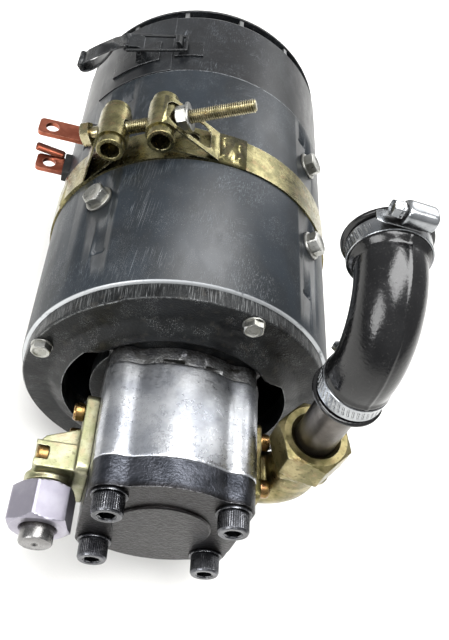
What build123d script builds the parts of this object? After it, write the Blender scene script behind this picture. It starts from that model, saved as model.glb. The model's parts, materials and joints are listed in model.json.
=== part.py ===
"""Hydraulic gear pump unit: a DC motor driving an external gear pump.

Frame: Y runs along the motor shaft, the pump is at -Y and the brush end at +Y.
Z is up and X is across, with the pressure port at -X and the suction port at +X.
The origin lies on the shaft axis, half way along the clamp band's width.
All lengths are in millimetres.
"""
import math
import os

from build123d import *

os.makedirs("parts", exist_ok=True)

# ---------------------------------------------------------------- driving sizes
CAN_R = 90.0                 # motor can, outer radius
CAN_BORE_R = 78.0
RIM = -105.5                 # front rim of the can, measured from the clamp band


def st(distance):
    """Y position of a station measured backwards from the can's front rim."""
    return RIM + distance


CAN_REAR = st(182.0)
BELL_FRONT = st(-9.7)
BELL_R = 87.9
BELL_EDGE = 1.2              # chamfer of the machined ring
BELL_SPIGOT = 8.0            # depth of the spigot inside the can
RIDGE_R = 62.0               # cast ridge round the pump
RIDGE_H = 6.0
HUB_R = 34.0
BELL_BOLT_R = 82.5
BELL_BOLT_ANGLE = 72.0
BELL_BOLT_AF = 10.0
KIDNEY_R = 57.0
KIDNEY_W = 15.0
KIDNEY_HALF = 30.0           # half angle of the vent slots
POLE_ANGLES = (45.0, 135.0, 225.0, 315.0)
POLE_ROWS = (st(70.0), st(142.6))
POLE_HEAD_AF = 13.0
POLE_HEAD_H = 5.6
POLE_BOLT_R = 4.0
POLE_BOLT_START = 64.0
SPOT_FACE = 0.42             # depth of the flat under each washer
POLE_WASHER_R = 8.6
POLE_WASHER_H = 1.5
POLE_FRONT = st(52.0)
POLE_REAR = st(163.0)
POLE_FACE_R = 53.0
POLE_TIP_R = 59.0
POLE_CORE_W = 34.0
COIL_W = 9.0
COIL_IN = 60.2
COIL_OUT = 75.0
ARM_R = 52.2
ARM_FRONT = st(53.0)
ARM_REAR = st(162.0)
SHAFT_R = 12.5
NOSE_R = 9.0
TAIL_R = 8.5
COMM_R = 30.0
COMM_FRONT = st(184.0)
COMM_REAR = st(212.0)
FAN_FRONT = st(217.5)
FAN_REAR = st(231.0)
FAN_R = 72.0
DRIVE_BEARING = (26.0, SHAFT_R, 15.0, st(16.0))       # outer r, bore r, width, front
REAR_BEARING = (20.0, TAIL_R, 12.0, st(238.0))
SHIELD_R = 88.9
SHIELD_BORE_R = 82.0
SHIELD_REAR = st(248.0)
WALL = 5.5
POST_COUNT = 14
POST_PHASE = 84.0
CAP_FRONT = st(256.0)
CAP_REAR = st(258.5)
BAND_COVER_R = 90.5          # sheet cover over the brush windows
BAND_COVER_T = 0.9
BAND_COVER_FRONT = st(182.6)
BAND_COVER_REAR = st(246.4)
CLAMP_T = 1.25               # clamp strap thickness
CLAMP_W = 24.5
TRUNNION_R = 8.0
TRUNNION_BORE = 5.4
TRUNNION_L = 37.0
TRUNNION_RC = 107.0          # radius of the trunnion centres
TRUNNION_LEFT = 126.3
TRUNNION_RIGHT = 110.2
BOLT_R = 4.0
BOLT_BACK = 19.0             # bolt head face behind the left trunnion centre
BOLT_AHEAD = 84.0
HEAD_CLEAR_R = 8.0
# pump
PUMP_HALF = 42.0             # half width, port face to port face
PUMP_R = 47.5
SCREW_X = 31.0
SCREW_Z = 30.0
LOBE_R = 11.0
VALLEY_R = 9.0               # blend between a lobe and the round middle
COVER_REAR = st(-10.0)       # front cover face that sits on the bell
COVER_JOINT = st(-20.0)
BODY_JOINT = st(-75.5)
COVER_END = st(-91.0)
BOSS_R = 26.0
SPIGOT_R = 25.0
SCREW_HEAD_R = 8.0
SCREW_HEAD_H = 10.0
SCREW_R = 5.0
WASHER_H = 1.6
HEAD_SEAT = COVER_END - WASHER_H
GEAR_TEETH = 12
GEAR_MODULE = 2.25
GEAR_ANGLE = 25.0
GEAR_FRONT = st(-66.0)
GEAR_REAR = st(-38.0)
GEAR_BORE = 16.0
GEAR_CENTRES = GEAR_TEETH * GEAR_MODULE
JOURNAL_R = 8.5
RUNNING = 0.05               # radial running clearance
# fittings
PORT_Y = st(-52.0)
PORT_Z = -4.0
PORT_R = 8.5
FLANGE_T = 7.0
FLANGE_BOLT = 14.1
PRESSURE_X = -61.5
PRESSURE_STUB = st(-79.0)
PRESSURE_BORE = 6.5
WEB_HALF = 11.0              # half height of the elbow's web and of its screw block
BLOCK_HALF = 18.0
PRESSURE_NUT_AF = 30.0
PRESSURE_NUT_L = 21.0
PLUG_R = 8.6
PLUG_OUT = 8.0
SUCTION_X = 68.0
SUCTION_NUT_AF = 36.0
SUCTION_NUT_Z = (31.0, 51.0)
TUBE_R = 11.0
TUBE_BORE = 9.0
TUBE_TOP = 112.0
HOSE_START = 92.0
HOSE_BEND = 37.0
HOSE_BEND_Z = 111.0
HOSE_END_Y = st(-2.0)
HOSE_R_LOW = 16.0
HOSE_BODY_R = 16.4           # hose skin along the bend
HOSE_R_HIGH = 18.8           # cuff at the open end
HOSE_CUFF = 13.0
HOSE_BORE_HIGH = 14.0        # at the open end
CLIP_W = 9.0
CLIP_T = 0.8


def cos(angle):
    """Cosine of an angle in degrees."""
    return math.cos(math.radians(angle))


def sin(angle):
    """Sine of an angle in degrees."""
    return math.sin(math.radians(angle))


def face_at(y, x=0.0, z=0.0):
    """Plane across the shaft axis; sketches on it extrude towards the pump."""
    return Plane(origin=(x, y, z), x_dir=(1, 0, 0), z_dir=(0, -1, 0))


def radial(angle, radius, y):
    """Plane touching the can at an angle; sketches on it extrude outwards."""
    return Plane(origin=(radius * cos(angle), y, radius * sin(angle)),
                 x_dir=(0, 1, 0), z_dir=(cos(angle), 0, sin(angle)))


def turned(points):
    """Half section in (radius, y) pairs, ready to be revolved about the axis."""
    with BuildSketch(Plane.XY) as section:
        with BuildLine():
            Polyline(*points, close=True)
        make_face()
    return section.sketch


def disc(y, *radii, x=0.0, z=0.0):
    """Round face across the axis, with a hole when a second radius is given."""
    with BuildSketch(face_at(y, x, z)) as face:
        Circle(radii[0])
        if len(radii) > 1:
            Circle(radii[1], mode=Mode.SUBTRACT)
    return face.sketch


def hex_face(plane, across_flats, turn=0.0):
    """Hexagon face given across its flats."""
    with BuildSketch(plane) as face:
        RegularPolygon(across_flats / 2, 6, major_radius=False, rotation=turn)
    return face.sketch


def arc_band(y, inner, outer, start, end):
    """Part of a ring between two angles, on a plane across the axis."""
    middle = (start + end) / 2
    with BuildSketch(face_at(y)) as face:
        with BuildLine():
            ThreePointArc((outer * cos(start), outer * sin(start)),
                          (outer * cos(middle), outer * sin(middle)),
                          (outer * cos(end), outer * sin(end)))
            Line((outer * cos(end), outer * sin(end)), (inner * cos(end), inner * sin(end)))
            ThreePointArc((inner * cos(end), inner * sin(end)),
                          (inner * cos(middle), inner * sin(middle)),
                          (inner * cos(start), inner * sin(start)))
            Line((inner * cos(start), inner * sin(start)), (outer * cos(start), outer * sin(start)))
        make_face()
    return face.sketch


def pump_outline(y, shrink=0.0):
    """Outline of the pump: a round middle, four screw lobes and flat port sides."""
    with BuildSketch(face_at(y)) as face:
        Circle(PUMP_R - shrink)
        with GridLocations(2 * SCREW_X, 2 * SCREW_Z, 2, 2):
            Circle(LOBE_R - shrink)
        Rectangle(2 * PUMP_HALF, 3 * PUMP_R, mode=Mode.INTERSECT)
        Rectangle(2 * (PUMP_HALF - shrink), 2 * SCREW_Z)
        fillet([v for v in face.vertices() if abs(v.X) < SCREW_X and abs(v.Y) > SCREW_Z], VALLEY_R)
    return face.sketch


def gear_outline(y, z, phase):
    """Involute gear outline with a little backlash, about a centre at height z."""
    pitch = GEAR_TEETH * GEAR_MODULE / 2
    base = pitch * cos(GEAR_ANGLE)
    tip, root = pitch + GEAR_MODULE - 0.05, pitch - 1.12 * GEAR_MODULE
    flank_start = math.tan(math.radians(GEAR_ANGLE)) - math.radians(GEAR_ANGLE)
    half = math.radians(90.0 / GEAR_TEETH - 0.4)
    rising = []
    for step in range(6):
        radius = base + (tip - base) * step / 5
        slope = math.acos(base / radius)
        rising.append((radius, half + flank_start - (math.tan(slope) - slope)))
    tooth = [(root, half + flank_start + 0.03)] + rising
    tooth = [(r, -a) for r, a in tooth] + [(r, a) for r, a in reversed(tooth)]
    points = []
    for index in range(GEAR_TEETH):
        turn = math.radians(phase + 360.0 * index / GEAR_TEETH)
        points += [(r * math.cos(a + turn), r * math.sin(a + turn)) for r, a in tooth]
    with BuildSketch(face_at(y, 0.0, z)) as face:
        with BuildLine():
            Polyline(*points, close=True)
        make_face()
    return face.sketch


def save(part, name):
    """Label one sub-part and write it out."""
    part.label = name
    export_step(part, "parts/" + name + ".step")


# ---------------------------------------------------------------- motor housing
with BuildPart() as motor_can:
    extrude(disc(CAN_REAR, CAN_R, CAN_BORE_R), amount=CAN_REAR - RIM)
    for angle in POLE_ANGLES:
        for row in POLE_ROWS:
            with BuildSketch(radial(angle, CAN_BORE_R - 2, row)):
                Circle(POLE_BOLT_R)
            extrude(amount=20, mode=Mode.SUBTRACT)
            with BuildSketch(radial(angle, CAN_R - SPOT_FACE, row)):
                Circle(POLE_WASHER_R)
            extrude(amount=4, mode=Mode.SUBTRACT)
    for angle in (49.0, 131.0, 229.0, 311.0):
        for y in (st(27.0), st(160.0)):
            with BuildSketch(radial(angle, CAN_R - 1.8, y)):
                SlotOverall(9.0, 4.5, rotation=90)
            extrude(amount=6, mode=Mode.SUBTRACT)
    for z in (14.0, 44.0):
        with Locations((-CAN_R + 8, st(145.0), z)):
            Box(40, 19, 9, mode=Mode.SUBTRACT)
    chamfer(motor_can.edges().filter_by(GeomType.CIRCLE).group_by(Axis.Y)[0].sort_by(SortBy.RADIUS)[-1], 1.0)
save(motor_can.part, "motor_can")

with BuildPart() as drive_end_bell:
    revolve(turned([
        (SPIGOT_R, BELL_FRONT), (RIDGE_R - 12, BELL_FRONT), (RIDGE_R - 8, BELL_FRONT + 1.0),
        (RIDGE_R - 5, BELL_FRONT - 0.62 * RIDGE_H), (RIDGE_R - 1.5, BELL_FRONT - 0.97 * RIDGE_H),
        (RIDGE_R + 1.5, BELL_FRONT - 0.97 * RIDGE_H), (RIDGE_R + 6, BELL_FRONT - 0.62 * RIDGE_H),
        (RIDGE_R + 12, BELL_FRONT), (BELL_R - BELL_EDGE, BELL_FRONT),
        (BELL_R, BELL_FRONT + BELL_EDGE), (BELL_R, RIM), (CAN_BORE_R, RIM),
        (CAN_BORE_R, RIM + BELL_SPIGOT), (CAN_BORE_R - 7, RIM + BELL_SPIGOT),
        (CAN_BORE_R - 9, RIM), (HUB_R + 2, RIM), (HUB_R, RIM + 2),
        (HUB_R, DRIVE_BEARING[3] + DRIVE_BEARING[2]), (DRIVE_BEARING[0], DRIVE_BEARING[3] + DRIVE_BEARING[2]),
        (DRIVE_BEARING[0], DRIVE_BEARING[3]), (21.0, DRIVE_BEARING[3]), (21.0, COVER_REAR + 7.5),
        (SPIGOT_R, COVER_REAR + 7.5)]), axis=Axis.Y)
    for side in (0.0, 180.0):
        extrude(arc_band(RIM + 6, KIDNEY_R - KIDNEY_W / 2, KIDNEY_R + KIDNEY_W / 2,
                         side - KIDNEY_HALF, side + KIDNEY_HALF), amount=30, mode=Mode.SUBTRACT)
        for end in (side - KIDNEY_HALF, side + KIDNEY_HALF):
            extrude(disc(RIM + 6, KIDNEY_W / 2, x=KIDNEY_R * cos(end), z=KIDNEY_R * sin(end)),
                    amount=30, mode=Mode.SUBTRACT)
    with BuildSketch(face_at(RIM)):
        with PolarLocations(BELL_BOLT_R, 4, start_angle=BELL_BOLT_ANGLE):
            Circle(3.0)
    extrude(amount=20, mode=Mode.SUBTRACT)
    with BuildSketch(face_at(RIM + 2)):
        with GridLocations(2 * SCREW_X, 2 * SCREW_Z, 2, 2):
            Circle(SCREW_R)
    extrude(amount=20, mode=Mode.SUBTRACT)
save(drive_end_bell.part, "drive_end_bell")

with BuildPart() as bell_bolts:
    for k in range(4):
        spot = BELL_BOLT_ANGLE + 90 * k
        x, z = BELL_BOLT_R * cos(spot), BELL_BOLT_R * sin(spot)
        extrude(disc(RIM, 3.0, x=x, z=z), amount=RIM - BELL_FRONT)
        extrude(disc(BELL_FRONT, 6.0, x=x, z=z), amount=1.0)
        extrude(hex_face(face_at(BELL_FRONT - 1.0, x, z), BELL_BOLT_AF, spot), amount=4.0)
save(bell_bolts.part, "bell_bolts")

with BuildPart() as pole_screws:
    for angle in POLE_ANGLES:
        for row in POLE_ROWS:
            with BuildSketch(radial(angle, POLE_BOLT_START, row)):
                Circle(POLE_BOLT_R)
            extrude(amount=CAN_R - POLE_BOLT_START)
            with BuildSketch(radial(angle, CAN_R - SPOT_FACE, row)):
                Circle(POLE_WASHER_R)
            extrude(amount=POLE_WASHER_H + SPOT_FACE)
            with BuildSketch(radial(angle, CAN_R + POLE_WASHER_H, row)):
                RegularPolygon(POLE_HEAD_AF / 2, 6, major_radius=False, rotation=angle)
            extrude(amount=POLE_HEAD_H)
save(pole_screws.part, "pole_screws")

with BuildPart() as pole_shoes:
    for angle in POLE_ANGLES:
        extrude(arc_band(POLE_REAR, POLE_FACE_R, POLE_TIP_R, angle - 34, angle + 34),
                amount=POLE_REAR - POLE_FRONT)
        with BuildSketch(face_at(POLE_REAR)):
            with Locations(Location((0, 0, 0), (0, 0, angle))):
                with Locations((CAN_BORE_R / 2 + 28.5, 0)):
                    Rectangle(CAN_BORE_R - 57.0, POLE_CORE_W)
        extrude(amount=POLE_REAR - POLE_FRONT)
    extrude(disc(POLE_REAR + 1, 2 * CAN_R, CAN_BORE_R), amount=130, mode=Mode.SUBTRACT)
    for angle in POLE_ANGLES:
        for row in POLE_ROWS:
            with BuildSketch(radial(angle, POLE_BOLT_START, row)):
                Circle(POLE_BOLT_R)
            extrude(amount=30, mode=Mode.SUBTRACT)
save(pole_shoes.part, "pole_shoes")

with BuildPart() as field_coils:
    for angle in POLE_ANGLES:
        with BuildSketch(radial(angle, COIL_IN, (POLE_FRONT + POLE_REAR) / 2)):
            RectangleRounded(POLE_REAR - POLE_FRONT + 2 * COIL_W, POLE_CORE_W + 2 * COIL_W, COIL_W)
            Rectangle(POLE_REAR - POLE_FRONT, POLE_CORE_W, mode=Mode.SUBTRACT)
        extrude(amount=COIL_OUT - COIL_IN)
    extrude(disc(POLE_REAR + 30, 2 * CAN_R, CAN_BORE_R - 0.5), amount=200, mode=Mode.SUBTRACT)
save(field_coils.part, "field_coils")

with BuildPart() as rear_end_shield:
    revolve(turned([
        (SHIELD_BORE_R, CAN_REAR), (SHIELD_R - 0.4, CAN_REAR), (SHIELD_R - 0.4, SHIELD_REAR - 1.5),
        (SHIELD_R, SHIELD_REAR - 1.4), (SHIELD_R, SHIELD_REAR), (REAR_BEARING[0] + 6, SHIELD_REAR),
        (REAR_BEARING[0] + 5, SHIELD_REAR + 4), (10.0, SHIELD_REAR + 4),
        (10.0, REAR_BEARING[3] + REAR_BEARING[2]), (REAR_BEARING[0], REAR_BEARING[3] + REAR_BEARING[2]),
        (REAR_BEARING[0], REAR_BEARING[3] - 1), (REAR_BEARING[0] + 6, REAR_BEARING[3] - 1),
        (REAR_BEARING[0] + 7, SHIELD_REAR - WALL), (SHIELD_BORE_R, SHIELD_REAR - WALL)]), axis=Axis.Y)
    for k in range(4):
        extrude(arc_band(st(238.0), SHIELD_BORE_R - 4, SHIELD_R + 4, 90 * k + 18, 90 * k + 72),
                amount=46, mode=Mode.SUBTRACT)
    with BuildSketch(face_at(SHIELD_REAR + 2)):
        with PolarLocations(56.0, 8):
            SlotOverall(34.0, 12.0)
    extrude(amount=20, mode=Mode.SUBTRACT)
    with BuildSketch(face_at(CAP_FRONT)):
        with PolarLocations(SHIELD_R - 5.0, POST_COUNT, start_angle=POST_PHASE):
            Rectangle(8.0, 3.2)
    extrude(amount=CAP_FRONT - SHIELD_REAR + 0.5)
save(rear_end_shield.part, "rear_end_shield")

with BuildPart() as rear_cap:
    revolve(turned([
        (0, CAP_FRONT), (SHIELD_R, CAP_FRONT), (SHIELD_R, CAP_REAR - 0.8), (SHIELD_R - 0.8, CAP_REAR),
        (40.0, CAP_REAR), (38.0, CAP_REAR - 0.9), (0, CAP_REAR - 0.9)]), axis=Axis.Y)
save(rear_cap.part, "rear_cap")

with BuildPart() as brush_cover_band:
    extrude(disc(BAND_COVER_REAR, BAND_COVER_R - BAND_COVER_T, BAND_COVER_R - 2 * BAND_COVER_T),
            amount=BAND_COVER_REAR - BAND_COVER_FRONT)
    extrude(arc_band(BAND_COVER_REAR, BAND_COVER_R - BAND_COVER_T, BAND_COVER_R, 113.6, 150.0),
            amount=BAND_COVER_REAR - BAND_COVER_FRONT)
save(brush_cover_band.part, "brush_cover_band")

# ---------------------------------------------------------------- cover latch
LATCH_Y = st(206.0)
LATCH_PIVOT = 126.7
LATCH_PIVOT_R = 97.5
PIVOT_X, PIVOT_Z = LATCH_PIVOT_R * cos(LATCH_PIVOT), LATCH_PIVOT_R * sin(LATCH_PIVOT)
PIN_R = 1.6
EAR_IN, EAR_OUT = 4.2, 5.9
LEVER_W = 14.4
LEVER_T = 1.8
LIFT = 4.0                   # lever plate above its pivot
BAIL_X, BAIL_Z = PIVOT_X - 8.0, PIVOT_Z + 1.4
HOOK_X, HOOK_Z = 94.3 * cos(107.6), 94.3 * sin(107.6)
WIRE_R = 1.1


def polar(radius, angle):
    """Point across the axis given by its radius and angle."""
    return (radius * cos(angle), radius * sin(angle))


with BuildPart() as latch_base:
    extrude(arc_band(LATCH_Y + 11, BAND_COVER_R, BAND_COVER_R + 1.2, 119.0, 142.0), amount=22)
    for y in (LATCH_Y + EAR_OUT, LATCH_Y - EAR_IN):
        with BuildSketch(face_at(y)):
            with BuildLine():
                Polyline(polar(91.2, 127.3), (PIVOT_X + 2.5, PIVOT_Z - 0.6), (PIVOT_X + 1.9, PIVOT_Z + 1.7),
                         (PIVOT_X - 0.2, PIVOT_Z + 2.5), (PIVOT_X - 2.2, PIVOT_Z + 1.5),
                         polar(91.2, 130.5), close=True)
            make_face()
        extrude(amount=EAR_OUT - EAR_IN)
    extrude(disc(LATCH_Y + EAR_OUT + 0.8, PIN_R, x=PIVOT_X, z=PIVOT_Z), amount=2 * EAR_OUT + 1.6)
save(latch_base.part, "latch_base")

LEVER_LINE = [(2.4, LIFT - 0.8), (-2.0, LIFT), (-9.0, LIFT - 1.6), (-18.0, LIFT - 7.0),
              (-27.0, LIFT - 14.5), (-33.5, LIFT - 20.5), (-36.0, LIFT - 23.8)]
with BuildPart() as latch_lever:
    with BuildSketch(face_at(LATCH_Y + LEVER_W / 2)):
        with BuildLine():
            above = [(PIVOT_X + x + 0.45, PIVOT_Z + z + LEVER_T / 2) for x, z in LEVER_LINE]
            below = [(PIVOT_X + x - 0.45, PIVOT_Z + z - LEVER_T / 2) for x, z in LEVER_LINE]
            Polyline(*above, *reversed(below), close=True)
        make_face()
        with Locations((PIVOT_X - 36.4, PIVOT_Z + LIFT - 24.2)):
            Circle(2.3)
    extrude(amount=LEVER_W)
    with BuildSketch(face_at(LATCH_Y + EAR_IN - 0.3)):
        with Locations((PIVOT_X, PIVOT_Z)):
            Circle(2.9)
            with Locations((0, LIFT / 2)):
                Rectangle(3.6, LIFT)
    extrude(amount=2 * EAR_IN - 0.6)
    for y in (LATCH_Y + LEVER_W / 2, LATCH_Y - LEVER_W / 2 + 1.6):
        with BuildSketch(face_at(y)):
            with Locations((BAIL_X, BAIL_Z)):
                Circle(2.6)
                with Locations((0, 1.0)):
                    Rectangle(5.2, 2.6)
        extrude(amount=1.6)
    extrude(disc(LATCH_Y + 9, PIN_R + RUNNING, x=PIVOT_X, z=PIVOT_Z), amount=18, mode=Mode.SUBTRACT)
    extrude(disc(LATCH_Y + 9, WIRE_R + RUNNING, x=BAIL_X, z=BAIL_Z), amount=18, mode=Mode.SUBTRACT)
save(latch_lever.part, "latch_lever")

with BuildPart() as latch_link:
    with BuildLine() as wire:
        Polyline((BAIL_X, LATCH_Y - 5.0, BAIL_Z), (BAIL_X, LATCH_Y - 9.0, BAIL_Z),
                 (HOOK_X, LATCH_Y - 8.0, HOOK_Z), (HOOK_X, LATCH_Y + 8.0, HOOK_Z),
                 (BAIL_X, LATCH_Y + 9.0, BAIL_Z), (BAIL_X, LATCH_Y + 5.0, BAIL_Z))
    with BuildSketch(Plane(origin=wire.wire() @ 0, z_dir=wire.wire() % 0)):
        Circle(WIRE_R)
    sweep(transition=Transition.ROUND)
save(latch_link.part, "latch_link")

with BuildPart() as latch_keeper:
    extrude(arc_band(LATCH_Y + 8, BAND_COVER_R - 0.9, BAND_COVER_R + 0.3, 100.5, 112.8), amount=16)
    with BuildSketch(face_at(LATCH_Y + 4.5)):
        with BuildLine():
            Polyline(polar(90.4, 111.2), polar(90.4, 108.9), polar(95.0, 108.7), polar(97.0, 109.3),
                     polar(98.6, 110.2), polar(98.4, 111.6), polar(96.4, 111.2), close=True)
        make_face()
    extrude(amount=9.0)
save(latch_keeper.part, "latch_keeper")

# ---------------------------------------------------------------- terminals
for label, height in (("terminal_upper", 44.0), ("terminal_lower", 14.0)):
    with BuildPart() as terminal:
        with BuildSketch(Plane.XY.offset(height - 1.5)):
            with Locations((-91.5, st(145.0))):
                RectangleRounded(39.0, 14.0, 3.0)
            with Locations((-102.5, st(145.0))):
                Circle(4.25, mode=Mode.SUBTRACT)
        extrude(amount=3.0)
        if label == "terminal_lower":
            with BuildSketch(Plane(origin=(-94.0, st(145.0), height + 1.5), x_dir=(1, 0, -0.18),
                                   z_dir=(0.18, 0, 1))):
                with Locations((-9.5, 8.5)):
                    RectangleRounded(20.0, 6.4, 2.0)
            extrude(amount=1.8)
    save(terminal.part, label)

with BuildPart() as terminal_insulators:
    for height in (14.0, 44.0):
        reach = math.sqrt(CAN_R ** 2 - (height + 6) ** 2)
        with Locations((-reach + 1.0, st(145.0), height)):
            Box(12, 18.6, 8.6)
            Box(40, 14.0, 3.0, mode=Mode.SUBTRACT)
save(terminal_insulators.part, "terminal_insulators")

# ---------------------------------------------------------------- clamp
TL_X, TL_Z = TRUNNION_RC * cos(TRUNNION_LEFT), TRUNNION_RC * sin(TRUNNION_LEFT)
TR_X, TR_Z = TRUNNION_RC * cos(TRUNNION_RIGHT), TRUNNION_RC * sin(TRUNNION_RIGHT)
BOLT_SPAN = math.hypot(TR_X - TL_X, TR_Z - TL_Z)
BOLT_DX, BOLT_DZ = (TR_X - TL_X) / BOLT_SPAN, (TR_Z - TL_Z) / BOLT_SPAN
STRAP_OUT = CAN_R + CLAMP_T


def bolt_plane(distance):
    """Plane across the clamp bolt, a distance ahead of the left trunnion."""
    return Plane(origin=(TL_X + distance * BOLT_DX, 0, TL_Z + distance * BOLT_DZ),
                 x_dir=(0, 1, 0), z_dir=(BOLT_DX, 0, BOLT_DZ))


def ear_loop(x, z, foot_angle, shrink):
    """Teardrop loop of strap round one trunnion, pinched on the band at its foot."""
    foot = STRAP_OUT + 0.7
    with BuildSketch(face_at(CLAMP_W / 2)) as face:
        with BuildLine():
            CenterArc((x, z), TRUNNION_R + CLAMP_T - shrink, 0, 360)
            CenterArc((foot * cos(foot_angle), foot * sin(foot_angle)), 0.7 - 0.5 * shrink, 0, 360)
        make_hull()
    return face.sketch


with BuildPart() as clamp_strap:
    extrude(disc(CLAMP_W / 2, STRAP_OUT, CAN_R), amount=CLAMP_W)
    extrude(arc_band(CLAMP_W / 2, STRAP_OUT, STRAP_OUT + CLAMP_T, 80.5, 92.5), amount=CLAMP_W)
    extrude(arc_band(CLAMP_W / 2, STRAP_OUT, STRAP_OUT + CLAMP_T, 144.0, 162.0), amount=CLAMP_W)
    extrude(ear_loop(TR_X, TR_Z, 91.5, 0.0), amount=CLAMP_W)
    extrude(ear_loop(TL_X, TL_Z, 145.0, 0.0), amount=CLAMP_W)
    extrude(ear_loop(TR_X, TR_Z, 91.5, CLAMP_T), amount=CLAMP_W, mode=Mode.SUBTRACT)
    extrude(ear_loop(TL_X, TL_Z, 145.0, CLAMP_T), amount=CLAMP_W, mode=Mode.SUBTRACT)
    extrude(disc(CLAMP_W / 2, STRAP_OUT - 0.05, CAN_R), amount=CLAMP_W)
    with BuildSketch(bolt_plane(-14)):
        Circle(BOLT_R + 0.9)
    extrude(amount=28, mode=Mode.SUBTRACT)
    with BuildSketch(bolt_plane(BOLT_SPAN - 14)):
        Circle(BOLT_R + 0.9)
    extrude(amount=14, mode=Mode.SUBTRACT)
    with BuildSketch(bolt_plane(BOLT_SPAN)):
        with Locations((0, -5.5)):
            RectangleRounded(18.4, 27.0, 5.0)
    extrude(amount=26, mode=Mode.SUBTRACT)
    with BuildSketch(bolt_plane(-BOLT_BACK - 1)):
        Circle(HEAD_CLEAR_R)
    extrude(amount=BOLT_BACK - TRUNNION_R, mode=Mode.SUBTRACT)
    extrude(disc(CLAMP_W / 2, STRAP_OUT, CAN_R), amount=CLAMP_W)
    for spot, y in ((89.5, 8.5), (83.5, 5.5), (89.5, -7.0), (83.5, -6.0)):
        with BuildSketch(radial(spot, STRAP_OUT + CLAMP_T - 0.4, y)):
            Circle(1.5)
        extrude(amount=0.9)
save(clamp_strap.part, "clamp_strap")

with BuildPart() as clamp_trunnions:
    for x, z in ((TL_X, TL_Z), (TR_X, TR_Z)):
        extrude(disc(TRUNNION_L / 2, TRUNNION_R, x=x, z=z), amount=TRUNNION_L)
    chamfer(clamp_trunnions.edges().filter_by(GeomType.CIRCLE), 0.7)
    for x, z in ((TL_X, TL_Z), (TR_X, TR_Z)):
        extrude(disc(TRUNNION_L / 2, TRUNNION_BORE, x=x, z=z), amount=TRUNNION_L, mode=Mode.SUBTRACT)
    with BuildSketch(bolt_plane(-20)):
        Circle(BOLT_R)
    extrude(amount=70, mode=Mode.SUBTRACT)
save(clamp_trunnions.part, "clamp_trunnions")

with BuildPart() as clamp_bolt:
    with BuildSketch(bolt_plane(-BOLT_BACK + 5.3)):
        Circle(BOLT_R)
    extrude(amount=BOLT_BACK + BOLT_AHEAD - 5.3)
    chamfer(clamp_bolt.edges().filter_by(GeomType.CIRCLE).sort_by(Axis.X)[-1], 0.8)
    extrude(hex_face(bolt_plane(-BOLT_BACK), 13.0), amount=5.3)
save(clamp_bolt.part, "clamp_bolt")

NUT_START = BOLT_SPAN + TRUNNION_R + 0.4
with BuildPart() as clamp_nut:
    extrude(hex_face(bolt_plane(NUT_START), 13.0), amount=6.6)
    with BuildSketch(bolt_plane(NUT_START + 6.6)):
        Circle(8.4)
    extrude(amount=1.3)
    with BuildSketch(bolt_plane(NUT_START - 1)):
        Circle(BOLT_R + RUNNING)
    extrude(amount=12, mode=Mode.SUBTRACT)
save(clamp_nut.part, "clamp_nut")

# ---------------------------------------------------------------- rotor
with BuildPart() as motor_shaft:
    revolve(turned([
        (0, st(3.0)), (NOSE_R, st(3.0)), (NOSE_R, st(14.5)), (SHAFT_R, st(14.5)),
        (SHAFT_R, st(215.0)), (TAIL_R, st(215.0)), (TAIL_R, st(250.5)), (0, st(250.5))]), axis=Axis.Y)
save(motor_shaft.part, "motor_shaft")

with BuildPart() as armature_core:
    extrude(disc(ARM_REAR, ARM_R, SHAFT_R), amount=ARM_REAR - ARM_FRONT)
    with BuildSketch(face_at(ARM_REAR)):
        with PolarLocations(ARM_R - 6.0, 24):
            Rectangle(13.0, 3.2)
    extrude(amount=ARM_REAR - ARM_FRONT, mode=Mode.SUBTRACT)
save(armature_core.part, "armature_core")

with BuildPart() as armature_winding:
    revolve(turned([
        (20.0, ARM_REAR), (ARM_R - 3, ARM_REAR), (ARM_R - 5, ARM_REAR + 12), (COMM_R + 1, COMM_FRONT),
        (20.0, COMM_FRONT)]), axis=Axis.Y)
    revolve(turned([
        (20.0, ARM_FRONT), (20.0, ARM_FRONT - 13), (28.0, ARM_FRONT - 16), (ARM_R - 6, ARM_FRONT - 15),
        (ARM_R - 3, ARM_FRONT - 8), (ARM_R - 3, ARM_FRONT)]), axis=Axis.Y)
    with BuildSketch(face_at(ARM_REAR)):
        with PolarLocations(ARM_R - 6.9, 24):
            Rectangle(11.0, 3.0)
    extrude(amount=ARM_REAR - ARM_FRONT)
save(armature_winding.part, "armature_winding")

with BuildPart() as commutator:
    revolve(turned([
        (SHAFT_R, COMM_FRONT), (COMM_R + 3, COMM_FRONT), (COMM_R + 3, COMM_FRONT + 3),
        (COMM_R, COMM_FRONT + 3.5), (COMM_R, COMM_REAR), (SHAFT_R, COMM_REAR)]), axis=Axis.Y)
    with BuildSketch(face_at(COMM_REAR)):
        with PolarLocations(COMM_R, 36):
            Rectangle(3.0, 0.7)
    extrude(amount=COMM_REAR - COMM_FRONT - 4, mode=Mode.SUBTRACT)
save(commutator.part, "commutator")

with BuildPart() as fan:
    extrude(disc(FAN_FRONT, FAN_R, TAIL_R), amount=-2.0)
    extrude(disc(FAN_FRONT, 18.0, TAIL_R), amount=FAN_FRONT - FAN_REAR)
    with BuildSketch(face_at(FAN_FRONT + 2)):
        with PolarLocations(50.0, 12, start_angle=10):
            Rectangle(42.0, 2.0, rotation=22)
    extrude(amount=FAN_FRONT + 2 - FAN_REAR)
save(fan.part, "fan")


def bearing_rings(spec, outer):
    """Half section of a ball bearing's outer or inner ring with its groove."""
    outside, bore, width, front = spec
    centre, ball = (outside + bore) / 2, 0.29 * (outside - bore)
    groove = 0.74 * ball
    side = 1 if outer else -1
    wall = outside if outer else bore
    edge, depth = centre + 0.64 * side * ball, centre + 1.02 * side * ball
    middle = front + width / 2
    return turned([(wall, front), (edge, front), (edge, middle - groove), (depth, middle - 0.3 * ball),
                   (depth, middle + 0.3 * ball), (edge, middle + groove), (edge, front + width),
                   (wall, front + width)])


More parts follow.
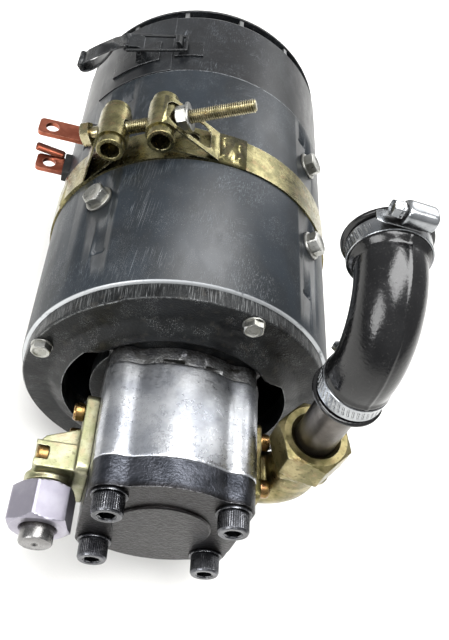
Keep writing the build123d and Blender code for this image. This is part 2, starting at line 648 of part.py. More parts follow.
with BuildPart() as bearing_outer_rings:
    revolve(bearing_rings(DRIVE_BEARING, True), axis=Axis.Y)
    revolve(bearing_rings(REAR_BEARING, True), axis=Axis.Y)
save(bearing_outer_rings.part, "bearing_outer_rings")

with BuildPart() as bearing_inner_rings:
    revolve(bearing_rings(DRIVE_BEARING, False), axis=Axis.Y)
    revolve(bearing_rings(REAR_BEARING, False), axis=Axis.Y)
save(bearing_inner_rings.part, "bearing_inner_rings")

with BuildPart() as bearing_balls:
    for outside, bore, width, front in (DRIVE_BEARING, REAR_BEARING):
        centre, ball = (outside + bore) / 2, 0.26 * (outside - bore)
        for k in range(9):
            with Locations((centre * cos(40 * k), front + width / 2, centre * sin(40 * k))):
                Sphere(ball)
save(bearing_balls.part, "bearing_balls")

# ---------------------------------------------------------------- brush gear
BRUSH_ANGLES = (45.0, 135.0, 225.0, 315.0)
BRUSH_Y = (COMM_FRONT + 5.5 + COMM_REAR) / 2
with BuildPart() as brush_rocker:
    extrude(disc(COMM_FRONT + 2.5, SHIELD_BORE_R, 60.0), amount=2.5)
    for angle in BRUSH_ANGLES:
        with BuildSketch(radial(angle, 60.0, BRUSH_Y - 8.0)):
            Rectangle(14.0, 20.0)
        extrude(amount=8.0)
save(brush_rocker.part, "brush_rocker")

with BuildPart() as brush_holders:
    for angle in BRUSH_ANGLES:
        with BuildSketch(radial(angle, COMM_R + 3.5, BRUSH_Y + 1.0)):
            Rectangle(19.0, 14.0)
            Rectangle(15.6, 10.6, mode=Mode.SUBTRACT)
        extrude(amount=26.5)
save(brush_holders.part, "brush_holders")

with BuildPart() as brushes:
    for angle in BRUSH_ANGLES:
        with BuildSketch(radial(angle, COMM_R + 0.35, BRUSH_Y + 1.0)):
            Rectangle(15.2, 10.2)
        extrude(amount=24.0)
save(brushes.part, "brushes")

with BuildPart() as brush_springs:
    for angle in BRUSH_ANGLES:
        with BuildSketch(radial(angle, COMM_R + 24.35, BRUSH_Y + 1.0)):
            Rectangle(8.0, 6.0)
        extrude(amount=1.2)
        with BuildSketch(radial(angle, COMM_R + 25.5, BRUSH_Y + 1.0)):
            Circle(3.4)
        extrude(amount=4.4)
save(brush_springs.part, "brush_springs")

# ---------------------------------------------------------------- pump housings
with BuildPart() as pump_front_cover:
    extrude(pump_outline(COVER_REAR, 1.0), amount=COVER_REAR - COVER_JOINT)
    extrude(disc(COVER_REAR + 7.0, SPIGOT_R), amount=7.5)
    extrude(disc(COVER_REAR + 8.0, 11.5), amount=13.0, mode=Mode.SUBTRACT)
    extrude(disc(COVER_REAR + 8.0, JOURNAL_R + 0.6), amount=30.0, mode=Mode.SUBTRACT)
    with BuildSketch(face_at(COVER_REAR + 1)):
        with GridLocations(2 * SCREW_X, 2 * SCREW_Z, 2, 2):
            Circle(SCREW_R)
    extrude(amount=20, mode=Mode.SUBTRACT)
    for x in (-8.5, 14.5):
        with Locations((x, COVER_JOINT + 1.1, PUMP_R - 2.0)):
            Box(11.5, 3.0, 6.0, mode=Mode.SUBTRACT)
save(pump_front_cover.part, "pump_front_cover")

with BuildPart() as pump_body:
    extrude(pump_outline(COVER_JOINT), amount=COVER_JOINT - BODY_JOINT)
    for z in (0.0, -GEAR_CENTRES):
        extrude(disc(COVER_JOINT, GEAR_BORE, z=z), amount=COVER_JOINT - BODY_JOINT, mode=Mode.SUBTRACT)
    with Locations((0, PORT_Y, PORT_Z)):
        Cylinder(PORT_R, 2 * PUMP_HALF + 2, rotation=(0, 90, 0), mode=Mode.SUBTRACT)
    with BuildSketch(face_at(COVER_JOINT)):
        with GridLocations(2 * SCREW_X, 2 * SCREW_Z, 2, 2):
            Circle(SCREW_R)
    extrude(amount=COVER_JOINT - BODY_JOINT, mode=Mode.SUBTRACT)
    for side in (-1, 1):
        for dy in (-FLANGE_BOLT, FLANGE_BOLT):
            for dz in (-FLANGE_BOLT, FLANGE_BOLT):
                with Locations((side * (PUMP_HALF - 5.0), PORT_Y + dy, PORT_Z + dz)):
                    Cylinder(3.0, 11.0, rotation=(0, 90, 0), mode=Mode.SUBTRACT)
save(pump_body.part, "pump_body")

with BuildPart() as pump_rear_cover:
    extrude(pump_outline(BODY_JOINT, 0.4), amount=BODY_JOINT - COVER_END)
    extrude(disc(COVER_END, BOSS_R), amount=1.6)
    chamfer(pump_rear_cover.faces().sort_by(Axis.Y)[0].edges(), 0.8)
    with BuildSketch(face_at(BODY_JOINT)):
        with GridLocations(2 * SCREW_X, 2 * SCREW_Z, 2, 2):
            Circle(SCREW_R)
    extrude(amount=30, mode=Mode.SUBTRACT)
save(pump_rear_cover.part, "pump_rear_cover")

with BuildPart() as pump_screws:
    for x in (-SCREW_X, SCREW_X):
        for z in (-SCREW_Z, SCREW_Z):
            extrude(disc(BELL_FRONT + 8.0, SCREW_R, x=x, z=z), amount=BELL_FRONT + 8.0 - HEAD_SEAT)
            extrude(disc(HEAD_SEAT, SCREW_HEAD_R, x=x, z=z), amount=SCREW_HEAD_H)
            extrude(hex_face(face_at(HEAD_SEAT - SCREW_HEAD_H + 5.5, x, z), 8.0),
                    amount=6.0, mode=Mode.SUBTRACT)
save(pump_screws.part, "pump_screws")

with BuildPart() as pump_washers:
    for x in (-SCREW_X, SCREW_X):
        for z in (-SCREW_Z, SCREW_Z):
            extrude(disc(COVER_END, 9.2, SCREW_R, x=x, z=z), amount=WASHER_H)
save(pump_washers.part, "pump_washers")

# ---------------------------------------------------------------- pump internals
with BuildPart() as drive_gear:
    extrude(gear_outline(GEAR_REAR, 0.0, 0.0), amount=GEAR_REAR - GEAR_FRONT)
    extrude(disc(st(-3.5), JOURNAL_R), amount=st(-3.5) - BODY_JOINT - 0.4)
    with BuildSketch(face_at(st(2.6))):
        Rectangle(15.0, 7.6)
        Circle(JOURNAL_R, mode=Mode.INTERSECT)
    extrude(amount=7.0)
save(drive_gear.part, "drive_gear")

with BuildPart() as driven_gear:
    extrude(gear_outline(GEAR_REAR, -GEAR_CENTRES, 180.0 / GEAR_TEETH), amount=GEAR_REAR - GEAR_FRONT)
    extrude(disc(COVER_JOINT - 0.4, JOURNAL_R, z=-GEAR_CENTRES),
            amount=COVER_JOINT - BODY_JOINT - 0.8)
save(driven_gear.part, "driven_gear")

for label, rear, front in (("bearing_block_front", COVER_JOINT, GEAR_REAR + 0.3),
                           ("bearing_block_rear", GEAR_FRONT - 0.3, BODY_JOINT)):
    with BuildPart() as bearing_block:
        for z in (0.0, -GEAR_CENTRES):
            extrude(disc(rear, GEAR_BORE, z=z), amount=rear - front)
        for z in (0.0, -GEAR_CENTRES):
            extrude(disc(rear, JOURNAL_R + RUNNING, z=z), amount=rear - front, mode=Mode.SUBTRACT)
    save(bearing_block.part, label)

with BuildPart() as shaft_seal:
    extrude(disc(COVER_REAR + 6.5, 11.5, JOURNAL_R + RUNNING), amount=5.5)
save(shaft_seal.part, "shaft_seal")

with BuildPart() as coupling:
    extrude(disc(st(13.5), 16.0, NOSE_R), amount=10.5)
    extrude(disc(st(3.0), 16.0), amount=5.0)
    with BuildSketch(face_at(st(3.0))):
        Rectangle(17.4, 8.0)
    extrude(amount=5.0, mode=Mode.SUBTRACT)
save(coupling.part, "coupling")

# ---------------------------------------------------------------- pressure side
with BuildPart() as pressure_elbow:
    with BuildSketch(Plane(origin=(-PUMP_HALF, PORT_Y, PORT_Z), x_dir=(0, 1, 0), z_dir=(-1, 0, 0))):
        RectangleRounded(46.0, 42.0, 4.0)
    extrude(amount=FLANGE_T)
    with BuildSketch(Plane.XY.offset(PORT_Z - WEB_HALF)):
        with BuildLine():
            Polyline((-PUMP_HALF - 4, PORT_Y + 9), (-PUMP_HALF - FLANGE_T, PORT_Y + 6),
                     (PRESSURE_X - 5, PORT_Y - 1), (PRESSURE_X - 8, PORT_Y - 5),
                     (PRESSURE_X - 8, PORT_Y - 12), (-PUMP_HALF - 4, PORT_Y - 12), close=True)
        make_face()
    extrude(amount=2 * WEB_HALF)
    with BuildSketch(Plane.XY.offset(PORT_Z - BLOCK_HALF)):
        with BuildLine():
            Polyline((-PUMP_HALF - 4, PORT_Y - 7), (PRESSURE_X - 9, PORT_Y - 7.5),
                     (PRESSURE_X - 9, PORT_Y - 21), (PRESSURE_X - 7, PORT_Y - 22.4),
                     (-PUMP_HALF - 4, PORT_Y - 22.4), close=True)
        make_face()
    extrude(amount=2 * BLOCK_HALF)
    with BuildSketch(Plane(origin=(PRESSURE_X - 2, PORT_Y - FLANGE_BOLT, PORT_Z), x_dir=(0, 1, 0),
                           z_dir=(-1, 0, 0))):
        with Locations((0, FLANGE_BOLT), (0, -FLANGE_BOLT)):
            Circle(5.3)
    extrude(amount=20.0, mode=Mode.SUBTRACT)
    extrude(disc(PORT_Y - 20, 12.2, x=PRESSURE_X, z=PORT_Z), amount=PORT_Y - 20 - PRESSURE_STUB - 1.6)
    extrude(disc(PRESSURE_STUB + 2, 11.0, x=PRESSURE_X, z=PORT_Z), amount=12.0)
    extrude(disc(PORT_Y + 3.5, PRESSURE_BORE, x=PRESSURE_X, z=PORT_Z), amount=50.0, mode=Mode.SUBTRACT)
    with Locations(((PRESSURE_X - PUMP_HALF) / 2, PORT_Y, PORT_Z)):
        Cylinder(PRESSURE_BORE - 0.7, -PRESSURE_X - PUMP_HALF + 2, rotation=(0, 90, 0), mode=Mode.SUBTRACT)
    for dz in (-FLANGE_BOLT, FLANGE_BOLT):
        for dy in (-FLANGE_BOLT, FLANGE_BOLT):
            with Locations((-PUMP_HALF - 15, PORT_Y + dy, PORT_Z + dz)):
                Cylinder(3.0, 32.0, rotation=(0, 90, 0), mode=Mode.SUBTRACT)
save(pressure_elbow.part, "pressure_elbow")

LONG_SEAT = -PRESSURE_X + 2


def flange_screws(side, seats):
    """Socket screws through a port flange; seats are (dy, head seat) pairs."""
    for dy, seat in seats:
        for dz in (-FLANGE_BOLT, FLANGE_BOLT):
            spot = Plane(origin=(side * (PUMP_HALF - 10.0), PORT_Y + dy, PORT_Z + dz),
                         x_dir=(0, 1, 0), z_dir=(side, 0, 0))
            with BuildSketch(spot) as shank:
                Circle(3.0)
            extrude(shank.sketch, amount=seat - PUMP_HALF + 10.0)
            with BuildSketch(spot.offset(seat - PUMP_HALF + 10.0)) as head:
                Circle(5.0)
            extrude(head.sketch, amount=6.0)
            with BuildSketch(spot.offset(seat - PUMP_HALF + 13.0)) as socket:
                RegularPolygon(2.5, 6, major_radius=False)
            extrude(socket.sketch, amount=4.0, mode=Mode.SUBTRACT)


with BuildPart() as pressure_screws:
    flange_screws(-1, ((FLANGE_BOLT, PUMP_HALF + FLANGE_T), (-FLANGE_BOLT, LONG_SEAT)))
save(pressure_screws.part, "pressure_screws")

with BuildPart() as pressure_union_nut:
    nut_face = face_at(PRESSURE_STUB, PRESSURE_X, PORT_Z)
    extrude(hex_face(nut_face, PRESSURE_NUT_AF, 44.0), amount=PRESSURE_NUT_L)
    with BuildSketch(nut_face):
        Circle(16.4)
    extrude(amount=PRESSURE_NUT_L, taper=0, mode=Mode.INTERSECT)
    extrude(disc(PRESSURE_STUB + 1, 11.0 + RUNNING, x=PRESSURE_X, z=PORT_Z), amount=14.0,
            mode=Mode.SUBTRACT)
    extrude(disc(PRESSURE_STUB - 1, PLUG_R + RUNNING, x=PRESSURE_X, z=PORT_Z), amount=30.0,
            mode=Mode.SUBTRACT)
save(pressure_union_nut.part, "pressure_union_nut")

with BuildPart() as pressure_plug:
    extrude(disc(PRESSURE_STUB - 10.4, PLUG_R, x=PRESSURE_X, z=PORT_Z),
            amount=PRESSURE_NUT_L - 10.4 + PLUG_OUT)
    chamfer(pressure_plug.edges().filter_by(GeomType.CIRCLE).group_by(Axis.Y)[0], 1.0)
save(pressure_plug.part, "pressure_plug")

# ---------------------------------------------------------------- suction side
SUCTION_BEND = 15.0
with BuildPart() as suction_elbow:
    with BuildSketch(Plane(origin=(PUMP_HALF, PORT_Y, PORT_Z), x_dir=(0, 1, 0), z_dir=(1, 0, 0))):
        RectangleRounded(46.0, 42.0, 4.0)
    extrude(amount=FLANGE_T)
    with BuildLine() as bore_line:
        Line((PUMP_HALF, PORT_Y, PORT_Z), (SUCTION_X - SUCTION_BEND, PORT_Y, PORT_Z))
        ThreePointArc((SUCTION_X - SUCTION_BEND, PORT_Y, PORT_Z),
                      (SUCTION_X - SUCTION_BEND * (1 - sin(45)), PORT_Y,
                       PORT_Z + SUCTION_BEND * (1 - cos(45))),
                      (SUCTION_X, PORT_Y, PORT_Z + SUCTION_BEND))
        Line((SUCTION_X, PORT_Y, PORT_Z + SUCTION_BEND), (SUCTION_X, PORT_Y, SUCTION_NUT_Z[0] - 5))
    with BuildSketch(Plane(origin=(PUMP_HALF, PORT_Y, PORT_Z), x_dir=(0, 1, 0), z_dir=(1, 0, 0))):
        Circle(14.5)
    sweep(path=bore_line.wire())
    with BuildSketch(Plane.XY.offset(SUCTION_NUT_Z[0] - 6)):
        with Locations((SUCTION_X, PORT_Y)):
            RectangleRounded(29.0, 29.0, 5.0)
    extrude(amount=5.0)
    with BuildSketch(Plane.XY.offset(SUCTION_NUT_Z[0] - 1)):
        with Locations((SUCTION_X, PORT_Y)):
            Circle(13.5)
    extrude(amount=14.0)
    with BuildSketch(Plane(origin=(PUMP_HALF, PORT_Y, PORT_Z), x_dir=(0, 1, 0), z_dir=(1, 0, 0))):
        Circle(8.5)
    sweep(path=bore_line.wire(), mode=Mode.SUBTRACT)
    with BuildSketch(Plane.XY.offset(PORT_Z + SUCTION_BEND)):
        with Locations((SUCTION_X, PORT_Y)):
            Circle(8.5)
    extrude(amount=60.0, mode=Mode.SUBTRACT)
    with BuildSketch(Plane.XY.offset(24.0)):
        with Locations((SUCTION_X, PORT_Y)):
            Circle(TUBE_R)
    extrude(amount=60.0, mode=Mode.SUBTRACT)
    for dz in (-FLANGE_BOLT, FLANGE_BOLT):
        for dy in (-FLANGE_BOLT, FLANGE_BOLT):
            with Locations((PUMP_HALF + 5, PORT_Y + dy, PORT_Z + dz)):
                Cylinder(3.0, 14.0, rotation=(0, 90, 0), mode=Mode.SUBTRACT)
            with Locations((PUMP_HALF + FLANGE_T + 4, PORT_Y + dy, PORT_Z + dz)):
                Cylinder(5.3, 8.0, rotation=(0, 90, 0), mode=Mode.SUBTRACT)
save(suction_elbow.part, "suction_elbow")

with BuildPart() as suction_screws:
    flange_screws(1, ((FLANGE_BOLT, PUMP_HALF + FLANGE_T), (-FLANGE_BOLT, PUMP_HALF + FLANGE_T)))
save(suction_screws.part, "suction_screws")

with BuildPart() as suction_union_nut:
    nut_low, nut_high = SUCTION_NUT_Z
    extrude(hex_face(Plane(origin=(SUCTION_X, PORT_Y, nut_low), x_dir=(1, 0, 0), z_dir=(0, 0, 1)),
                     SUCTION_NUT_AF, 15.0), amount=nut_high - nut_low)
    with BuildSketch(Plane.XY.offset(nut_low - 1)):
        with Locations((SUCTION_X, PORT_Y)):
            Circle(13.5 + RUNNING)
    extrude(amount=14.6, mode=Mode.SUBTRACT)
    with BuildSketch(Plane.XY.offset(nut_low)):
        with Locations((SUCTION_X, PORT_Y)):
            Circle(TUBE_R + RUNNING)
    extrude(amount=30.0, mode=Mode.SUBTRACT)
save(suction_union_nut.part, "suction_union_nut")

with BuildPart() as suction_tube:
    with BuildSketch(Plane.XY.offset(24.0)):
        with Locations((SUCTION_X, PORT_Y)):
            Circle(TUBE_R)
            Circle(TUBE_BORE, mode=Mode.SUBTRACT)
    extrude(amount=TUBE_TOP - 24.0)
save(suction_tube.part, "suction_tube")

# hose centre line: up, a quarter bend towards the motor, then straight back
BEND_END_Y = PORT_Y + HOSE_BEND
HOSE_TOP_Z = HOSE_BEND_Z + HOSE_BEND
HOSE_STATIONS = [(0.0, PORT_Y, HOSE_START), (0.0, PORT_Y, HOSE_BEND_Z)]
for k in range(1, 7):
    t = 15.0 * k
    HOSE_STATIONS.append((t, PORT_Y + HOSE_BEND * (1 - cos(t)), HOSE_BEND_Z + HOSE_BEND * sin(t)))
HOSE_STATIONS.append((90.0, HOSE_END_Y, HOSE_TOP_Z))


def hose_plane(index):
    """Plane across the hose at one of its stations."""
    tilt, y, z = HOSE_STATIONS[index]
    return Plane(origin=(SUCTION_X, y, z), x_dir=(1, 0, 0), z_dir=(0, sin(tilt), cos(tilt)))


def hose_radius(index, low, high):
    """Radius that grows along the bend from its lower to its upper value."""
    tilt = HOSE_STATIONS[index][0]
    share = tilt / 90.0
    return low + (high - low) * share * share * (3 - 2 * share)


def hose_skin(low, high, mode):
    """Two straight legs and the lofted bend between them, solid through."""
    with BuildSketch(hose_plane(0)) as leg:
        Circle(low)
    extrude(leg.sketch, amount=HOSE_BEND_Z - HOSE_START, mode=mode)
    rings = []
    for index in range(1, len(HOSE_STATIONS) - 1):
        with BuildSketch(hose_plane(index)) as ring:
            Circle(hose_radius(index, low, high))
        rings.append(ring.sketch.face())
    loft(rings, mode=mode)
    with BuildSketch(hose_plane(-2)) as leg:
        Circle(high)
    extrude(leg.sketch, amount=HOSE_END_Y - BEND_END_Y, mode=mode)


with BuildPart() as suction_hose:
    hose_skin(HOSE_R_LOW, HOSE_BODY_R, Mode.ADD)
    with BuildSketch(hose_plane(-1).offset(-HOSE_CUFF)):
        Circle(HOSE_R_HIGH)
    extrude(amount=HOSE_CUFF)
    with BuildSketch(hose_plane(0)):
        Circle(HOSE_R_LOW + 2.0)
    extrude(amount=2.6)
    with BuildSketch(hose_plane(-1).offset(-3.0)):
        Circle(HOSE_R_HIGH + 2.7)
    extrude(amount=3.0)
    hose_skin(TUBE_R, HOSE_BORE_HIGH, Mode.SUBTRACT)
save(suction_hose.part, "suction_hose")


def clip_strap(plane, radius):
    """Worm-drive clip strap: a thin band with the housing and the strap's tail."""
    with BuildSketch(plane) as ring:
        Circle(radius + CLIP_T)
        Circle(radius, mode=Mode.SUBTRACT)
    extrude(ring.sketch, amount=CLIP_W)
    with BuildSketch(plane) as tail:
        with Locations((0, radius + CLIP_T + 0.5)):
            Rectangle(19.0, 1.4)
        with Locations((-13.0, radius - 0.9)):
            Rectangle(9.0, 1.0, rotation=24)
    extrude(tail.sketch, amount=CLIP_W)
    with BuildSketch(plane.offset(-1.2)) as housing:
        with Locations((1.0, radius + CLIP_T + 5.3)):
            RectangleRounded(15.0, 9.6, 3.0)
    extrude(housing.sketch, amount=CLIP_W + 2.4)


def clip_screw(plane, radius):
    """Worm screw of a clip, lying along the strap with its hexagon head outside."""
    line = Plane(origin=plane.from_local_coords((-12.5, radius + CLIP_T + 5.6, CLIP_W / 2)),
                 x_dir=plane.z_dir, z_dir=plane.x_dir)
    with BuildSketch(line) as head:
        RegularPolygon(3.5, 6, major_radius=False)
    extrude(head.sketch, amount=5.0)
    with BuildSketch(line.offset(5.0)) as shank:
        Circle(3.0)
    extrude(shank.sketch, amount=17.0)


LOWER_TURN, UPPER_TURN = 112.0, 4.0
LOWER_CLIP = Plane(origin=(SUCTION_X, PORT_Y, HOSE_START + 4.2),
                   x_dir=(sin(LOWER_TURN), cos(LOWER_TURN), 0), z_dir=(0, 0, 1))
UPPER_CLIP = Plane(origin=(SUCTION_X, HOSE_END_Y - 4.2, HOSE_TOP_Z),
                   x_dir=(cos(UPPER_TURN), 0, -sin(UPPER_TURN)), z_dir=(0, -1, 0))
CLIPS = (("lower", LOWER_CLIP, HOSE_R_LOW), ("upper", UPPER_CLIP, HOSE_R_HIGH))
for label, plane, radius in CLIPS:
    with BuildPart() as clip:
        clip_strap(plane, radius)
        worm = plane.from_local_coords((-20.0, radius + CLIP_T + 5.6, CLIP_W / 2))
        with BuildSketch(Plane(origin=worm, x_dir=plane.z_dir, z_dir=plane.x_dir)):
            Circle(3.0 + RUNNING)
        extrude(amount=40.0, mode=Mode.SUBTRACT)
    save(clip.part, "hose_clip_" + label)
    with BuildPart() as worm_screw:
        clip_screw(plane, radius)
    save(worm_screw.part, "clip_screw_" + label)
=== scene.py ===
"""Hydraulic gear pump unit: finishes, fasteners, fittings and studio.

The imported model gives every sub-part its place. This script softens the machined
edges of the cast and turned parts, makes the threaded, knurled and moulded pieces
as surfaces worked out with numpy, and gives every surface its procedural finish.
Class sizes are in millimetres, meshes are made in metres.
"""

import json
import logging
import math
from dataclasses import dataclass
from enum import Enum
from typing import Any, Optional, Sequence

import bmesh
import bpy
import numpy as np
from mathutils import Matrix, Vector

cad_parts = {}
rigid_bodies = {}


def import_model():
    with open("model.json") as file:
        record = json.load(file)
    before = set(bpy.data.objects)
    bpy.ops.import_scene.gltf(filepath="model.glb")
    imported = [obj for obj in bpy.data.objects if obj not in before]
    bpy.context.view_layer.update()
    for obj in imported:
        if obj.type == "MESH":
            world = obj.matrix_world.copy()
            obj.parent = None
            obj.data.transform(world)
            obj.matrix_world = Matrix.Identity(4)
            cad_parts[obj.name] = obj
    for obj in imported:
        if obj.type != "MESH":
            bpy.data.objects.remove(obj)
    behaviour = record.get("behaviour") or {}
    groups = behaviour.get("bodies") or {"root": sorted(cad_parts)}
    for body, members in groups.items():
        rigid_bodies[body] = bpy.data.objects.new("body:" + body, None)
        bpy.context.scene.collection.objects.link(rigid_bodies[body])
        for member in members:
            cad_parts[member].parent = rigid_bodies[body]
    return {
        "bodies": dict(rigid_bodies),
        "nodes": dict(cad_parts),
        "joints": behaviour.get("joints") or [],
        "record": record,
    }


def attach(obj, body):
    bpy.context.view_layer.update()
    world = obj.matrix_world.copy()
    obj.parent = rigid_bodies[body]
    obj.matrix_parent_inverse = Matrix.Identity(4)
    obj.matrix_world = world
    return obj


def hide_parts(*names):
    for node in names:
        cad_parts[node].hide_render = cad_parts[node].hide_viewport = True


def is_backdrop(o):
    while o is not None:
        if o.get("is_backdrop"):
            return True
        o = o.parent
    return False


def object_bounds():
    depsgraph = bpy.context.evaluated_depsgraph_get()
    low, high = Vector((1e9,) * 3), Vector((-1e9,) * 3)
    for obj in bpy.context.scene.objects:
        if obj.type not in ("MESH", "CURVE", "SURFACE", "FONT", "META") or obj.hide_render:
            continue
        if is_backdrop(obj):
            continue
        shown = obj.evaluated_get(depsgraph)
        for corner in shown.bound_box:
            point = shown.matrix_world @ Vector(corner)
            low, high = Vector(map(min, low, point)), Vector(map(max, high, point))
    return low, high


LOG = logging.getLogger("pump_unit")
MM = 0.001
ROUNDING_SHARES = (1.0, 0.7, 0.45, 0.25)
ROOMS = (1.3, 4.0, 12.0)
MERGE = 2e-6                    # corners closer than this are one, in metres
FLAT = 0.6                      # faces that turn less than this are joined, in degrees
CRISP = 40                      # edges sharper than this stay crisp, in degrees
FOLD_COSINE = -0.7              # two neighbours that turn further than this are folded
SPECK = 1e-9                    # faces smaller than this are not counted, in square metres


# ------------------------------------------------------------------ colour and nodes
def linear(code: str) -> tuple[float, float, float, float]:
    """Turn an sRGB hex code into the linear colour a shader socket takes.

    Args:
        code: colour as six hex digits, with or without a leading hash.

    Returns:
        Red, green, blue and alpha, by the sRGB curve: c/12.92 below 0.04045,
        ((c + 0.055)/1.055)^2.4 above.
    """
    text = code.lstrip("#")
    parts = [int(text[i:i + 2], 16) / 255 for i in (0, 2, 4)]
    red, green, blue = (c / 12.92 if c <= 0.04045 else ((c + 0.055) / 1.055) ** 2.4 for c in parts)
    return (red, green, blue, 1.0)


class Graph:
    """Node tree of one finish; patterns are given in real millimetres on Object coordinates."""

    def __init__(self, name: str) -> None:
        """Start an empty material.

        Args:
            name: name of the material, the real surface it stands for.
        """
        self.material = bpy.data.materials.new(name)
        self.material.use_nodes = True
        self.tree = self.material.node_tree
        self.tree.nodes.clear()
        self.object_coords = self.add("ShaderNodeTexCoord", {}).outputs["Object"]

    def add(self, kind: str, settings: dict[Any, Any]) -> bpy.types.Node:
        """Add one node with its settings and links.

        Args:
            kind: node type name.
            settings: attribute, input name or input number, each with a value or the
                output socket that feeds it.

        Returns:
            The new node.
        """
        node = self.tree.nodes.new(kind)
        for key in sorted(settings, key=lambda k: not (isinstance(k, str) and k[:1].islower())):
            value = settings[key]
            if isinstance(key, str) and key[:1].islower():
                setattr(node, key, value)
            elif isinstance(value, bpy.types.NodeSocket):
                self.tree.links.new(value, node.inputs[key])
            else:
                node.inputs[key].default_value = value
        return node

    def scaled(self, size: float, stretch: Sequence[float] = (1, 1, 1),
               turn: Sequence[float] = (0, 0, 0)) -> bpy.types.NodeSocket:
        """Object coordinates counted in pattern sizes.

        Args:
            size: real size of one pattern feature, in millimetres.
            stretch: how many times longer a feature is along X, Y and Z.
            turn: turn of the pattern in degrees.

        Returns:
            The vector output.
        """
        scale = [1 / (size * MM * s) for s in stretch]
        turned = self.object_coords
        if any(turn):
            turned = self.add("ShaderNodeMapping", {
                "Vector": turned, "Rotation": [math.radians(a) for a in turn]}).outputs[0]
        return self.add("ShaderNodeMapping", {"Vector": turned, "Scale": scale}).outputs[0]

    def patches(self, size: float, low: float, high: float, detail: float = 4.0,
                stretch: Sequence[float] = (1, 1, 1), turn: Sequence[float] = (0, 0, 0),
                rough: float = 0.55) -> bpy.types.NodeSocket:
        """Soft irregular patches, nought to one.

        Args:
            size: size of a patch in millimetres.
            low: noise level where a patch begins.
            high: noise level where it is full.
            detail: octaves of finer breakup.
            stretch: how many times longer a patch is along X, Y and Z.
            turn: turn of the pattern in degrees.
            rough: strength of the finer octaves.

        Returns:
            The mask output.
        """
        cloud = self.add("ShaderNodeTexNoise", {
            "Vector": self.scaled(size, stretch, turn), "Scale": 1.0, "Detail": detail,
            "Roughness": rough})
        return self.add("ShaderNodeMapRange", {
            "interpolation_type": "SMOOTHSTEP", "Value": cloud.outputs["Fac"],
            "From Min": low, "From Max": high}).outputs["Result"]

    def scratches(self, width: float, length: float, amount: float,
                  turn: Sequence[float] = (0, 0, 0)) -> bpy.types.NodeSocket:
        """Hairline scratches: a very long thin noise, kept only at its crests, in broken patches.

        Args:
            width: width of a line in millimetres.
            length: length of a line in millimetres.
            amount: share of the noise that shows, nought to one.
            turn: turn of the lines in degrees from along Y.

        Returns:
            The mask output.
        """
        lines = self.patches(width, 0.70 - 0.12 * amount, 0.76 - 0.10 * amount, 1.0,
                             (1, length / width, 1), turn)
        broken = self.patches(length * 0.8, 0.48, 0.60, 2.0)
        return self.add("ShaderNodeMath", {"operation": "MULTIPLY", 0: lines, 1: broken}).outputs[0]

    def edges(self, width: float, low: float = 0.02, high: float = 0.2) -> bpy.types.NodeSocket:
        """Mask of rubbed outer edges: how far the rounded normal leaves the true one, broken up.

        Args:
            width: reach of the wear from the edge in millimetres.
            low: difference where wear begins.
            high: difference where it is full.

        Returns:
            The mask output.
        """
        rounded = self.add("ShaderNodeBevel", {"samples": 4, "Radius": width * MM})
        true = self.add("ShaderNodeNewGeometry", {})
        same = self.add("ShaderNodeVectorMath", {
            "operation": "DOT_PRODUCT", 0: rounded.outputs[0], 1: true.outputs["Normal"]})
        away = self.add("ShaderNodeMath", {
            "operation": "SUBTRACT", 0: 1.0, 1: same.outputs["Value"]}).outputs[0]
        free = self.add("ShaderNodeAmbientOcclusion", {"samples": 4, "Distance": 2.5 * MM})
        proud = self.add("ShaderNodeMapRange", {
            "Value": free.outputs["AO"], "From Min": 0.80, "From Max": 0.97}).outputs["Result"]
        chips = self.patches(2.2, 0.35, 0.62, 5.0)
        broken = self.share(chips, 1.0, self.share(away, 1.0, proud))
        return self.add("ShaderNodeMapRange", {
            "Value": broken, "From Min": low, "From Max": high}).outputs["Result"]

    def corners(self, reach: float, low: float = 0.25, high: float = 0.85) -> bpy.types.NodeSocket:
        """Mask of closed-in corners by ambient occlusion, used to paint shade into corners.

        Args:
            reach: how far a wall shelters, in millimetres.
            low: openness at which the mask is full.
            high: openness at which it ends.

        Returns:
            The mask output.
        """
        open_share = self.add("ShaderNodeAmbientOcclusion", {"samples": 4, "Distance": reach * MM})
        return self.add("ShaderNodeMapRange", {
            "Value": open_share.outputs["AO"], "From Min": high, "From Max": low}).outputs["Result"]

    def rising(self, axis: str, start: float, end: float) -> bpy.types.NodeSocket:
        """Mask that goes from nought to one between two places along an axis.

        Args:
            axis: X, Y or Z.
            start: place where it is nought, in millimetres.
            end: place where it is one, in millimetres.

        Returns:
            The mask output.
        """
        split = self.add("ShaderNodeSeparateXYZ", {"Vector": self.object_coords})
        return self.add("ShaderNodeMapRange", {
            "Value": split.outputs[axis], "From Min": start * MM, "From Max": end * MM}).outputs[0]

    def outward(self, start: float, end: float) -> bpy.types.NodeSocket:
        """Mask that goes from nought to one with the distance from the shaft axis.

        Args:
            start: distance where it is nought, in millimetres.
            end: distance where it is one, in millimetres.

        Returns:
            The mask output.
        """
        across = self.add("ShaderNodeVectorMath", {
            "operation": "MULTIPLY", 0: self.object_coords, 1: (1, 0, 1)}).outputs[0]
        far = self.add("ShaderNodeVectorMath", {"operation": "LENGTH", 0: across})
        return self.add("ShaderNodeMapRange", {
            "Value": far.outputs["Value"], "From Min": start * MM, "From Max": end * MM}).outputs[0]

    def share(self, mask: bpy.types.NodeSocket, amount: float,
              over: Optional[bpy.types.NodeSocket] = None) -> bpy.types.NodeSocket:
        """A mask taken down to a share, or multiplied by another mask as well.

        Args:
            mask: the mask.
            amount: share that is kept.
            over: second mask, if any.

        Returns:
            The mask output.
        """
        part = self.add("ShaderNodeMath", {"operation": "MULTIPLY", 0: mask, 1: amount}).outputs[0]
        if over is None:
            return part
        return self.add("ShaderNodeMath", {"operation": "MULTIPLY", 0: part, 1: over}).outputs[0]

